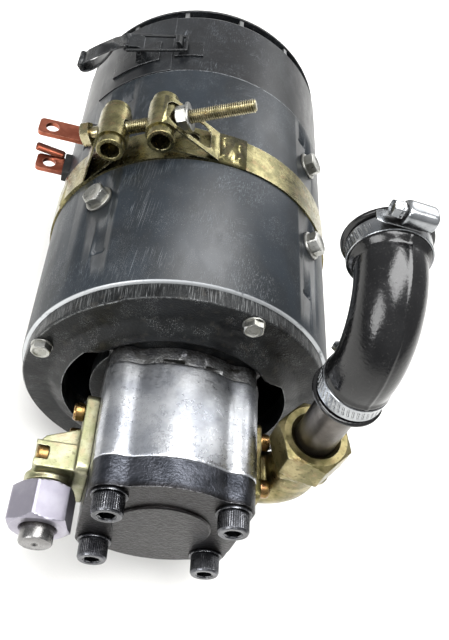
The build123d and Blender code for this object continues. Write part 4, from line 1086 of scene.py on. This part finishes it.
@dataclass(frozen=True)
class SocketHead:
    """Cylindrical head with a hexagon socket and, if asked, a straight knurl."""

    radius: float
    height: float
    socket: float
    depth: float
    knurls: int = 0
    knurl_depth: float = 0.22

    def rings(self, place: Place, columns: int = 240) -> np.ndarray:
        """Rings from the seat up the side, over the rim and down into the socket.

        The side's reach is radius - depth · (0.5 - 0.5 cos(n a)) along the knurl; the
        socket goes from a round mouth to the hexagon within half a millimetre.

        Args:
            place: local frame on the seat; the head grows along Z.
            columns: points round.

        Returns:
            Array of rings × points round × 3.
        """
        a = np.linspace(0, 2 * np.pi, columns, endpoint=False)
        one = np.ones_like(a)
        furrow = 1 - np.abs(np.mod(self.knurls * a / np.pi, 2.0) - 1) if self.knurls else 0 * a
        side = self.radius - self.knurl_depth * furrow
        hexagon = hex_reach(a, self.socket)
        mouth = self.socket / math.sqrt(3) * 1.03
        top, r = self.height, self.radius
        rows = [(0.0, 0.5 * r * one), (0.0, 0.9 * r * one), (0.25, (r - 0.15) * one),
                (0.5, (r - 0.12) * one), (0.9, side)]
        rows += [(t, side) for t in np.linspace(1.2, top - 1.5, 5)]
        rows += [(top - 1.2, np.minimum(side, r - 0.05)), (top - 0.9, (r - 0.3) * one),
                 (top - 0.3, (r - 0.55) * one), (top, (r - 1.0) * one), (top, (mouth + 0.7) * one),
                 (top - 0.05, (mouth + 0.25) * one), (top - 0.45, mouth * one),
                 (top - 0.75, np.minimum(hexagon, mouth)), (top - 0.8 * self.depth, hexagon),
                 (top - self.depth, 0.97 * hexagon), (top - self.depth - 0.4, 0.4 * hexagon)]
        reach = np.stack([row[1] for row in rows])
        h = np.array([row[0] for row in rows])[:, None]
        return place.put(np.stack([reach * np.cos(a), reach * np.sin(a),
                                   np.broadcast_to(h, reach.shape)], -1))


@dataclass(frozen=True)
class Washer:
    """Flat washer with rolled edges, or the round foot under a head."""

    outer: float
    inner: float
    thickness: float
    roll: float = 0.3

    def rings(self, place: Place, columns: int = 96) -> np.ndarray:
        """Rings round the rounded section of the washer.

        Args:
            place: local frame on the washer's seat.
            columns: points round.

        Returns:
            Array of rings × points round × 3, closed on itself.
        """
        section = rounded_profile([(self.inner, 0), (self.outer, 0), (self.outer, self.thickness),
                                   (self.inner, self.thickness)], self.roll)
        return turned_rings(section, place, columns)


@dataclass(frozen=True)
class ThreadedRod:
    """Rod with a real helical thread and a chamfered end."""

    radius: float
    pitch: float
    plain: float
    length: float
    depth: float = 0.62

    def rings(self, place: Place, columns: int = 40) -> np.ndarray:
        """Rings along the rod: the reach dips by a flattened triangle wave of (h/pitch - a/2π).

        Args:
            place: local frame at the rod's start; the rod grows along Z.
            columns: points round.

        Returns:
            Array of rings × points round × 3.
        """
        a = np.linspace(0, 2 * np.pi, columns, endpoint=False)[None, :]
        count = int((self.length - self.plain) / self.pitch * 9)
        threaded = np.linspace(self.plain, self.length, count)
        h = np.concatenate([[0.0, self.plain - 0.5], threaded])[:, None]
        wave = np.abs(((h / self.pitch - a / (2 * np.pi)) % 1.0) * 2 - 1)
        cut = np.clip(1.25 * wave - 0.12, 0, 1) * self.depth
        fade = np.clip((h - self.plain) / (1.5 * self.pitch), 0, 1)
        reach = self.radius - cut * fade
        end = self.radius - 1.1 + np.clip(self.length - h, 0, 9) * 1.0
        reach = np.minimum(reach, end)
        return place.put(np.stack([reach * np.cos(a), reach * np.sin(a),
                                   np.broadcast_to(h, reach.shape)], -1))


# ------------------------------------------------------------------ motor
@dataclass
class Motor:
    """Motor housing: can, bells, cover band, latch, terminals and their screws."""

    can_radius: float = 90.0
    bell_front: float = -115.2
    bolt_circle: float = 82.5
    bolt_angle: float = 72.0
    pole_angles: Sequence[float] = (45.0, 135.0, 225.0, 315.0)
    pole_rows: Sequence[float] = (-35.5, 37.1)
    latch_at: Sequence[float] = (-58.27, 100.5, 78.17)
    latch_loop: Sequence[Sequence[float]] = ((-36.6, -20.6), (-38.5, -29.0), (-26.0, -26.0),
                                             (-17.5, -4.4))
    latch_width: float = 12.6
    latch_sheet: float = 1.7

    def build(self, shop: Workshop) -> None:
        """Build and dress the motor.

        Args:
            shop: workshop that hands pieces to the frame.
        """
        shop.soften("motor_can", 0.6, 30)
        shop.soften("drive_end_bell", 0.7, 38, 3)
        shop.soften("brush_cover_band", 0.25, 45)
        shop.soften("rear_end_shield", 0.4, 38)
        shop.soften("rear_cap", 0.4, 38)
        for node, width in (("latch_base", 0.25), ("latch_lever", 0.35), ("latch_keeper", 0.25),
                            ("terminal_upper", 0.35), ("terminal_lower", 0.35),
                            ("terminal_insulators", 0.5)):
            shop.soften(node, width, 35)
        self.bell_bolts(shop)
        self.pole_screws(shop)
        self.finger_loop(shop)

    def finger_loop(self, shop: Workshop) -> None:
        """Strip folded back under the latch lever, which makes its finger loop.

        A flat section, a circle whose cosine and sine are raised to 0.4 and scaled to the
        width and the sheet's thickness, is carried along a cubic curve with four control points.

        Args:
            shop: workshop that hands pieces to the frame.
        """
        t = np.linspace(0, 1, 49)[:, None]
        knots = np.array(self.latch_loop)
        flat = ((1 - t) ** 3 * knots[0] + 3 * t * (1 - t) ** 2 * knots[1]
                + 3 * t * t * (1 - t) * knots[2] + t ** 3 * knots[3])
        along = np.gradient(flat, axis=0)
        along /= np.linalg.norm(along, axis=1, keepdims=True)
        turn = np.linspace(0, 2 * np.pi, 40, endpoint=False)
        across, up = (np.sign(w) * np.abs(w) ** 0.4 for w in (np.cos(turn), np.sin(turn)))
        rings = np.zeros((len(flat), len(turn), 3))
        rings[..., 0] = flat[:, :1] - along[:, 1:] * up * self.latch_sheet / 2
        rings[..., 1] = across * self.latch_width / 2
        rings[..., 2] = flat[:, 1:] + along[:, :1] * up * self.latch_sheet / 2
        shell = Shell()
        shell.solid(rings + np.array(self.latch_at))
        shop.add(shell.make("latch_finger_loop", 40), "latch_lever")

    def bell_bolts(self, shop: Workshop) -> None:
        """Four hexagon bolts with spring washers in the bell's face."""
        shell = Shell()
        head, foot = HexHead(10.0, 4.0, 0.4), Washer(6.0, 2.9, 1.0, 0.25)
        for k in range(4):
            spot = math.radians(self.bolt_angle + 90 * k)
            at = (self.bolt_circle * math.cos(spot), self.bell_front, self.bolt_circle * math.sin(spot))
            x_dir = (math.cos(spot), 0, math.sin(spot))
            shell.tube(foot.rings(Place(at, x_dir, (0, -1, 0)), 72))
            shell.solid(head.rings(Place((at[0], at[1] - 1.0, at[2]), x_dir, (0, -1, 0))))
        shop.install(shell.make("bell_bolts_turned", 28), "bell_bolts")

    def pole_screws(self, shop: Workshop) -> None:
        """Eight pole screws with washers on the can."""
        shell = Shell()
        head, washer = HexHead(13.0, 5.6, 0.5), Washer(8.6, 3.9, 1.9, 0.35)
        for index, angle in enumerate(self.pole_angles):
            out = np.array([math.cos(math.radians(angle)), 0, math.sin(math.radians(angle))])
            for row, y in enumerate(self.pole_rows):
                turn = math.radians(23.0 + 17.0 * (2 * index + row))
                seat = out * (self.can_radius - 0.4) + np.array([0, y, 0])
                side = np.array([0, 1, 0]) * math.cos(turn) + np.cross(out, [0, 1, 0]) * math.sin(turn)
                shell.tube(washer.rings(Place(seat, side, out), 72))
                shell.solid(head.rings(Place(seat + out * 1.9, side, out)))
        shop.install(shell.make("pole_screws_turned", 28), "pole_screws")


# ------------------------------------------------------------------ clamp
@dataclass
class Clamp:
    """Mounting strap round the can with its trunnions, long bolt and nut."""

    trunnion_circle: float = 107.0
    left: float = 126.3
    right: float = 110.2
    bolt_back: float = 19.0
    bolt_ahead: float = 84.0
    trunnion_radius: float = 8.0

    def line(self) -> tuple[np.ndarray, np.ndarray, float]:
        """Left trunnion's centre, direction of the bolt, and the span between the trunnions."""
        left, right = (self.trunnion_circle * np.array([math.cos(math.radians(a)), 0,
                                                        math.sin(math.radians(a))])
                       for a in (self.left, self.right))
        span = float(np.linalg.norm(right - left))
        return left, (right - left) / span, span

    def build(self, shop: Workshop) -> None:
        """Build and dress the clamp.

        Args:
            shop: workshop that hands pieces to the frame.
        """
        shop.soften("clamp_strap", 0.3, 38)
        shop.soften("clamp_trunnions", 0.35, 35)
        left, along, span = self.line()
        bolt = Shell()
        bolt.solid(HexHead(13.0, 5.3, 0.5, 12).rings(Place(left - along * (self.bolt_back - 5.3),
                                                       (0, 1, 0), -along)))
        bolt.solid(ThreadedRod(4.0, 1.25, 22.0, self.bolt_back + self.bolt_ahead - 5.3).rings(
            Place(left - along * (self.bolt_back - 5.3), (0, 1, 0), along)))
        shop.install(bolt.make("clamp_bolt_threaded", 32), "clamp_bolt")
        nut = Shell()
        start = left + along * (span + self.trunnion_radius + 0.4)
        ring = HexHead(13.0, 6.6, 0.0, 8, True)
        body = ring.rings(Place(start, (0, 1, 0), along))
        bore = turned_rings(np.array([(4.05, 6.5), (4.05, 0.1)]), Place(start, (0, 1, 0), along))
        nut.tube(np.concatenate([body[1:-2], bore]))
        nut.tube(Washer(8.4, 4.1, 1.3, 0.3).rings(Place(start + along * 6.6, (0, 1, 0), along)))
        shop.install(nut.make("clamp_nut_chamfered", 28), "clamp_nut")


# ------------------------------------------------------------------ pump
@dataclass
class Pump:
    """Gear pump: three housings and four knurled cap screws with washers."""

    screw_x: float = 31.0
    screw_z: float = 30.0
    cover_end: float = -196.5
    washer_h: float = 1.6

    def build(self, shop: Workshop) -> None:
        """Build and dress the pump.

        Args:
            shop: workshop that hands pieces to the frame.
        """
        shop.soften("pump_front_cover", 0.9, 35, 3)
        shop.cast("pump_body", 0.9, 5)
        shop.soften("pump_rear_cover", 0.5, 35, 3)
        screws, washers = Shell(), Shell()
        head = SocketHead(8.0, 10.0, 8.0, 5.0, 48)
        ring = Washer(9.2, 5.1, self.washer_h, 0.35)
        for index, (x, z) in enumerate(((-1, -1), (-1, 1), (1, -1), (1, 1))):
            turn = math.radians(11 + 31 * index)
            side = (math.cos(turn), 0, math.sin(turn))
            seat = (x * self.screw_x, self.cover_end, z * self.screw_z)
            washers.tube(ring.rings(Place(seat, side, (0, -1, 0))))
            top = (seat[0], seat[1] - self.washer_h, seat[2])
            screws.solid(head.rings(Place(top, side, (0, -1, 0))))
        shop.install(screws.make("pump_screws_knurled", 30), "pump_screws")
        shop.install(washers.make("pump_washers_rolled", 40), "pump_washers")


# ------------------------------------------------------------------ pressure side
@dataclass
class PressurePort:
    """Forged elbow, its socket screws, the union nut and the blanking plug."""

    half: float = 42.0
    port_y: float = -157.5
    port_z: float = -4.0
    bolt: float = 14.1
    flange: float = 7.0
    axis_x: float = -61.5
    stub: float = -184.5
    nut_flats: float = 30.0
    nut_length: float = 21.0
    plug_radius: float = 8.6
    plug_out: float = 8.0

    def build(self, shop: Workshop) -> None:
        """Build and dress the pressure fittings.

        Args:
            shop: workshop that hands pieces to the frame.
        """
        shop.cast("pressure_elbow", 0.5, 5)
        screws = Shell()
        head = SocketHead(5.0, 6.0, 5.0, 3.2)
        for dy, seat in ((self.bolt, self.half + self.flange), (-self.bolt, -self.axis_x + 2)):
            for dz in (-self.bolt, self.bolt):
                at = (-seat, self.port_y + dy, self.port_z + dz)
                screws.solid(head.rings(Place(at, (0, 0.9, 0.44), (-1, 0, 0)), 120))
        shop.install(screws.make("pressure_screws_turned", 30), "pressure_screws")
        seat = Place((self.axis_x, self.stub, self.port_z), (1, 0, 0), (0, -1, 0))
        nut = Shell()
        body = HexHead(self.nut_flats, self.nut_length, 0.0, 14, True).rings(seat, 144)
        bore = turned_rings(rounded_profile([(self.plug_radius + 1.4, self.nut_length - 0.02),
                                             (self.plug_radius + 0.15, self.nut_length - 1.3),
                                             (self.plug_radius + 0.15, 0.2)], 0.1)[2:], seat, 144)
        nut.tube(np.concatenate([body[1:-2], bore]))
        shop.install(nut.make("pressure_union_nut_chamfered", 28), "pressure_union_nut")
        plug = Shell()
        tip = self.nut_length + self.plug_out
        profile = np.array([(4.0, 10.4), (self.plug_radius, 10.4), (self.plug_radius, 19.0),
                            (self.plug_radius - 0.25, 19.2), (self.plug_radius - 0.25, 22.0),
                            (self.plug_radius, 22.3), (self.plug_radius, tip - 1.3),
                            (self.plug_radius - 0.4, tip - 0.5), (self.plug_radius - 1.3, tip),
                            (2.2, tip), (1.9, tip - 0.2), (0.6, tip - 1.4)])
        plug.solid(turned_rings(profile, seat, 96))
        shop.install(plug.make("pressure_plug_turned", 30), "pressure_plug")


# ------------------------------------------------------------------ suction side
@dataclass
class SuctionPort:
    """Cast elbow, union nut, steel tube, moulded rubber elbow and its two worm clips."""

    half: float = 42.0
    port_y: float = -157.5
    port_z: float = -4.0
    bolt: float = 14.1
    flange: float = 7.0
    axis_x: float = 68.0
    nut_flats: float = 36.0
    nut_z: Sequence[float] = (31.0, 51.0)
    tube_radius: float = 11.0
    tube_bore: float = 9.0
    tube_top: float = 112.0
    hose_start: float = 92.0
    bend: float = 37.0
    bend_z: float = 111.0
    hose_end: float = -107.5
    low: float = 16.0
    body: float = 16.4
    high: float = 18.8
    cuff: float = 13.0
    bore_high: float = 14.0
    seam_turn: float = 1.42

    def build(self, shop: Workshop) -> None:
        """Build and dress the suction fittings.

        Args:
            shop: workshop that hands pieces to the frame.
        """
        shop.cast("suction_elbow", 0.55, 6)
        screws = Shell()
        head = SocketHead(5.0, 6.0, 5.0, 3.2)
        for dy in (-self.bolt, self.bolt):
            for dz in (-self.bolt, self.bolt):
                at = (self.half + self.flange, self.port_y + dy, self.port_z + dz)
                screws.solid(head.rings(Place(at, (0, 0.8, 0.6), (1, 0, 0)), 120))
        shop.install(screws.make("suction_screws_turned", 30), "suction_screws")
        seat = Place((self.axis_x, self.port_y, self.nut_z[0]))
        tall = self.nut_z[1] - self.nut_z[0]
        nut = Shell()
        body = HexHead(self.nut_flats, tall, 0.0, 15, True).rings(seat, 144)
        mouth = self.tube_radius + 0.15
        bore = turned_rings(np.array([(mouth + 2.4, tall), (mouth + 1.2, tall - 0.9),
                                      (mouth, tall - 1.6), (mouth, 0.2)]), seat, 144)
        nut.tube(np.concatenate([body[1:-2], bore]))
        shop.install(nut.make("suction_union_nut_chamfered", 28), "suction_union_nut")
        tube = Shell()
        wall = rounded_profile([(self.tube_bore, 24.0), (self.tube_radius, 24.0),
                                (self.tube_radius, self.tube_top), (self.tube_bore, self.tube_top)], 0.4)
        tube.tube(turned_rings(wall, Place((self.axis_x, self.port_y, 0.0)), 96))
        shop.install(tube.make("suction_tube_drawn", 35), "suction_tube")
        shop.install(self.hose().make("suction_hose_moulded", 35), "suction_hose")

    def centreline(self, along: np.ndarray) -> tuple[np.ndarray, np.ndarray, np.ndarray]:
        """Point, forward direction and outward direction of the hose's middle at each length.

        A straight leg up, a quarter turn of the bend radius, and a straight leg back.

        Args:
            along: lengths from the lower end in millimetres.

        Returns:
            Points, forward directions and outward directions, each one row per length.
        """
        leg, arc = self.bend_z - self.hose_start, self.bend * np.pi / 2
        t = np.clip((along - leg) / self.bend, 0, np.pi / 2)
        up, back = np.minimum(along, leg), np.maximum(along - leg - arc, 0)
        y = self.port_y + self.bend * (1 - np.cos(t)) + back
        z = self.hose_start + up + self.bend * np.sin(t)
        zero = np.zeros_like(along)
        point = np.stack([zero + self.axis_x, y, z], -1)
        forward = np.stack([zero, np.sin(t), np.cos(t)], -1)
        outward = np.stack([zero, -np.cos(t), np.sin(t)], -1)
        return point, forward, outward

    def hose(self) -> Shell:
        """Moulded elbow: a skin that swells along the bend, lips, mould seam and bore.

        The reach goes from the low to the body's size by a smoothstep of the turn and up to
        the cuff by another at the open end, plus rounded lips at both ends, a slight swell
        beside the lower clip and a mould seam along the outside and the inside of the bend.

        Returns:
            A shell with the closed hose.
        """
        leg, arc = self.bend_z - self.hose_start, self.bend * np.pi / 2
        total = leg + arc + (self.hose_end - self.port_y - self.bend)
        s = np.concatenate([np.linspace(0, 4, 17)[:-1], np.linspace(4, total - 18, 84)[:-1],
                            np.linspace(total - 18, total - 4, 34)[:-1],
                            np.linspace(total - 4, total, 17)])
        a = np.linspace(0, 2 * np.pi, 144, endpoint=False)
        turn = np.clip((s - leg) / arc, 0, 1)
        swell = turn * turn * (3 - 2 * turn)
        step = np.clip((s - (total - self.cuff - 3.2)) / 3.4, 0, 1)
        skin = (self.low + (self.body - self.low) * swell
                + (self.high - self.body) * step * step * (3 - 2 * step))
        lip_low = 1.9 * np.sqrt(np.clip(1 - np.abs((s - 1.35) / 1.35) ** 3, 0, 1))
        lip_high = 2.6 * np.sqrt(np.clip(1 - np.abs((s - total + 1.55) / 1.55) ** 3, 0, 1))
        bulge = 0.55 * np.exp(-((s - 14.6) / 1.3) ** 2)
        outer = skin + lip_low + lip_high + bulge
        seam = 0.5 * (np.exp(-((a - self.seam_turn) / 0.05) ** 2)
                      + np.exp(-((a - self.seam_turn - np.pi) / 0.05) ** 2))
        fine = 0.10 * np.sin(a * 3 + 1.0)[None, :] * np.sin(s / 9.0)[:, None]
        off_lips = (1 - np.minimum(lip_low + lip_high, 1))[:, None]
        outside = outer[:, None] + seam[None, :] * off_lips + fine
        bore = (self.tube_radius + 0.02 + (self.bore_high - self.tube_radius) * swell)[::-1]
        inside = np.repeat(bore[:, None], len(a), 1)
        stations = np.concatenate([s, s[::-1]])
        reach = np.concatenate([outside, inside])
        point, _, outward = self.centreline(stations)
        side = np.array([1.0, 0, 0])
        spread = (np.cos(a)[None, :, None] * side[None, None, :]
                  + np.sin(a)[None, :, None] * outward[:, None, :])
        shell = Shell()
        shell.tube(point[:, None, :] + reach[..., None] * spread)
        return shell


@dataclass
class WormClip:
    """Worm-drive hose clip: slotted band, overlapping tail, stamped housing and screw."""

    label: str
    place: Place
    radius: float
    width: float = 9.0
    thickness: float = 0.8

    def build(self, shop: Workshop) -> None:
        """Build and dress the clip and its screw.

        Args:
            shop: workshop that hands pieces to the frame.
        """
        clip = Shell()
        clip.tube(self.band())
        clip.solid(self.housing())
        clip.solid(self.tail())
        shop.install(clip.make(f"hose_clip_{self.label}_slotted", 35), "hose_clip_" + self.label)
        screw = Shell()
        height = self.radius + self.thickness + 5.6
        axes = self.place.axes()
        at = self.place.put(np.array([-7.5, height, self.width / 2]))
        screw.solid(HexHead(7.0, 5.0, 0.9, 10).rings(Place(at, axes[2], -axes[0])))
        screw.tube(Washer(3.9, 1.0, 1.0, 0.3).rings(Place(at + axes[0] * -0.6, axes[2], -axes[0]), 48))
        shank = np.array([(1.0, -17.0), (2.4, -17.0), (3.0, -16.2), (3.0, 0.1), (1.0, 0.1)])
        screw.solid(turned_rings(shank, Place(at, axes[2], -axes[0]), 48))
        shop.install(screw.make(f"clip_screw_{self.label}_turned", 32), "clip_screw_" + self.label)

    def band(self) -> np.ndarray:
        """Band round the hose: a rounded strip whose face dips at the slanted thread slots.

        Returns:
            Rings round the strip's section, closed on itself.
        """
        a = np.linspace(0, 2 * np.pi, 600, endpoint=False)
        w, t = self.width, self.thickness
        outer = np.array([(t - 0.25, 0.0), (t, 0.25)] + [(t, v) for v in np.linspace(1.2, w - 1.2, 15)]
                         + [(t, w - 0.25), (t - 0.25, w)])
        inner = np.array([(0.1, w), (0.0, w - 0.3), (0.0, 0.3), (0.1, 0.0)])
        section = np.concatenate([outer, inner])
        reach = np.repeat(self.radius + section[:, :1], len(a), 1)
        v = np.repeat(section[:, 1:2], len(a), 1)
        run = a[None, :] * self.radius
        wave = np.cos(2 * np.pi * (run / 2.35 + (v - w / 2) * 0.12))
        window = np.clip((2.7 - np.abs(v - w / 2)) / 0.5, 0, 1)
        where = np.clip(np.minimum(a - 2.4, 2 * np.pi + 0.6 - a) * 4, 0, 1)[None, :]
        dip = 0.42 * np.clip((wave - 0.1) * 2.2, 0, 1) * window * where
        dip[section[:, 0] < t - 0.01] = 0
        reach = reach - dip
        return self.place.put(np.stack([reach * np.cos(a), reach * np.sin(a), v], -1))

    def housing(self) -> np.ndarray:
        """Stamped housing: an arch across the band that draws in at both ends.

        Each section is the curve |x/w|^2.6 + |y/h|^2.6 = 1 cut off at its foot; its size
        falls as (1 - |u|^6)^(1/6) towards the ends.

        Returns:
            Rings from one end to the other.
        """
        u = np.sin(np.linspace(-np.pi / 2, np.pi / 2, 25))
        b = np.linspace(0, 2 * np.pi, 72, endpoint=False)
        size = np.clip(1 - np.abs(u) ** 8, 0, 1) ** (1 / 5) * 0.5 + 0.5
        size[[0, -1]] = 0.45
        cos_b, sin_b = np.cos(b), np.sin(b)
        x = np.sign(cos_b) * np.abs(cos_b) ** (2 / 2.8) * 5.7
        y = np.sign(sin_b) * np.abs(sin_b) ** (2 / 2.8) * 4.8
        along = 1.0 + 7.4 * u
        middle = self.radius + self.thickness + 5.3
        rows = np.stack([np.broadcast_to(along[:, None], (len(u), len(b))),
                         middle + np.maximum(y[None, :] * size[:, None], -4.9),
                         self.width / 2 + x[None, :] * size[:, None]], -1)
        return self.place.put(rows)

    def tail(self) -> np.ndarray:
        """Free end of the band, a thin strip that leaves the housing and lifts off the ring.

        Returns:
            Rings from its root to its tip.
        """
        u = np.linspace(0, 1, 14)[:, None]
        section = rounded_profile([(-0.35, 0.5), (0.35, 0.5), (0.35, self.width - 0.5),
                                   (-0.35, self.width - 0.5)], 0.3)
        x = 4.0 - 20.5 * u
        y = self.radius + self.thickness + 0.45 - 2.2 * np.clip(u - 0.45, 0, 1) ** 1.5
        narrow = 1 - 0.35 * np.clip((u - 0.85) / 0.15, 0, 1) ** 2
        off = (section[:, 1][None, :] - self.width / 2) * narrow + self.width / 2
        rows = np.stack([np.broadcast_to(x, (14, len(section))), y + section[:, 0][None, :], off], -1)
        return self.place.put(rows)


# ------------------------------------------------------------------ studio
@dataclass
class Studio:
    """Pale paper floor, three soft lamps, a dim room and the camera."""

    floor_reach: float = 3.0
    eye: Sequence[float] = (-0.0573, -0.3503, 0.3684)
    right: Sequence[float] = (0.965561, 0.041152, 0.256902)
    down: Sequence[float] = (0.190276, -0.785128, -0.589381)
    ahead: Sequence[float] = (0.177447, 0.617965, -0.765919)
    lens: float = 41.95
    room: float = 0.85

    def build(self, lowest: float) -> None:
        """Set up floor, lamps, room and camera.

        Args:
            lowest: height of the unit's lowest point in metres.
        """
        self.floor(lowest - 0.0005)
        self.lamps()
        self.camera()

    def floor(self, height: float) -> None:
        """Sheet of paper on a grid, lying under the unit.

        Args:
            height: height of the sheet in metres.
        """
        side = np.linspace(-self.floor_reach, self.floor_reach, 13)
        x, y = np.meshgrid(side, side, indexing="xy")
        points = np.stack([x, y, np.full_like(x, height)], -1).reshape(-1, 3)
        i, j = np.meshgrid(np.arange(12), np.arange(12), indexing="ij")
        quads = np.stack([i * 13 + j, i * 13 + j + 1, (i + 1) * 13 + j + 1, (i + 1) * 13 + j], -1)
        mesh = bpy.data.meshes.new("paper_floor")
        mesh.from_pydata(points.tolist(), [], quads.reshape(-1, 4).tolist())
        sheet = bpy.data.objects.new("paper_floor", mesh)
        bpy.context.scene.collection.objects.link(sheet)
        mesh.materials.append(StudioFloor().build())
        sheet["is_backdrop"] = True

    def lamps(self) -> None:
        """Large overhead softbox, a key from the left and a rim from behind, in a dim room."""
        plan = (("overhead", (0.1, -0.1, 1.5), (0.0, 0.0, 0.0), 1.3, 0.9, 40.0),
                ("key", (-1.1, -0.9, 0.9), (0.0, -0.05, 0.0), 0.8, 0.8, 17.0),
                ("rim", (0.9, 1.0, 0.9), (0.0, 0.0, 0.0), 0.7, 0.9, 8.0))
        for name, at, aim, width, tall, power in plan:
            lamp = bpy.data.lights.new(name, "AREA")
            lamp.shape = "RECTANGLE"
            lamp.size, lamp.size_y = width, tall
            lamp.energy = power
            holder = bpy.data.objects.new(name, lamp)
            holder.location = at
            toward = Vector(aim) - Vector(at)
            holder.rotation_euler = toward.to_track_quat("-Z", "Y").to_euler()
            bpy.context.scene.collection.objects.link(holder)
        world = bpy.data.worlds.new("room")
        world.use_nodes = True
        tree = world.node_tree
        back = tree.nodes["Background"]
        back.inputs["Color"].default_value = linear("f4f5f7")
        up = tree.nodes.new("ShaderNodeSeparateXYZ")
        fade = tree.nodes.new("ShaderNodeMapRange")
        tree.links.new(tree.nodes.new("ShaderNodeTexCoord").outputs["Generated"], up.inputs[0])
        tree.links.new(up.outputs["Z"], fade.inputs["Value"])
        tree.links.new(fade.outputs["Result"], back.inputs["Strength"])
        # dimmer at the walls than at the ceiling
        for name, value in (("From Min", -0.05), ("From Max", 0.75), ("To Min", 0.45),
                            ("To Max", self.room)):
            fade.inputs[name].default_value = value
        bpy.context.scene.world = world
        # plain colour reproduction, so the paints keep their depth
        bpy.context.scene.view_settings.view_transform = "Standard"

    def camera(self) -> None:
        """Camera at the unit's viewing angle; its columns are right, up and back."""
        data = bpy.data.cameras.new("eye")
        data.lens = self.lens
        data.sensor_width = 36.0
        data.clip_start = 0.01
        holder = bpy.data.objects.new("eye", data)
        matrix = Matrix.Identity(4)
        for row in range(3):
            matrix[row][0] = self.right[row]
            matrix[row][1] = -self.down[row]
            matrix[row][2] = -self.ahead[row]
            matrix[row][3] = self.eye[row]
        holder.matrix_world = matrix
        bpy.context.scene.collection.objects.link(holder)
        bpy.context.scene.camera = holder


def clips() -> list[WormClip]:
    """The two clips, with their planes on the hose; returns them."""
    port = SuctionPort()
    turn = math.radians(112)
    lower = Place((port.axis_x, port.port_y, port.hose_start + 4.2),
                  (math.sin(turn), math.cos(turn), 0), (0, 0, 1))
    tilt = math.radians(4)
    upper = Place((port.axis_x, port.hose_end - 4.2, port.bend_z + port.bend),
                  (math.cos(tilt), 0, -math.sin(tilt)), (0, -1, 0))
    return [WormClip("lower", lower, port.low), WormClip("upper", upper, port.high)]


def corners(pair: Any) -> list[list[float]]:
    """Lowest and highest corner as plain lists; returns them."""
    return [[float(c) for c in corner] for corner in pair]


def main() -> None:
    """Load the frame, build and dress every sub-assembly in order, and set up the studio."""
    logging.basicConfig(level=logging.INFO, format="%(name)s: %(message)s")
    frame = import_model()
    cad_box = corners(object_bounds())
    shop = Workshop(frame)
    pieces = [("motor", Motor()), ("clamp", Clamp()), ("pump", Pump()),
              ("pressure port", PressurePort()), ("suction port", SuctionPort())]
    pieces += [(clip.label + " hose clip", clip) for clip in clips()]
    for name, piece in pieces:
        piece.build(shop)
        LOG.info("built the %s", name)
    for node in frame["nodes"]:
        if not frame["nodes"][node].hide_render:
            shop.coat_node(node)
            LOG.info("dressed %s as it is", node)
    Studio().build(cad_box[0][2])
    LOG.info("studio set")


if __name__ == "__main__":
    main()
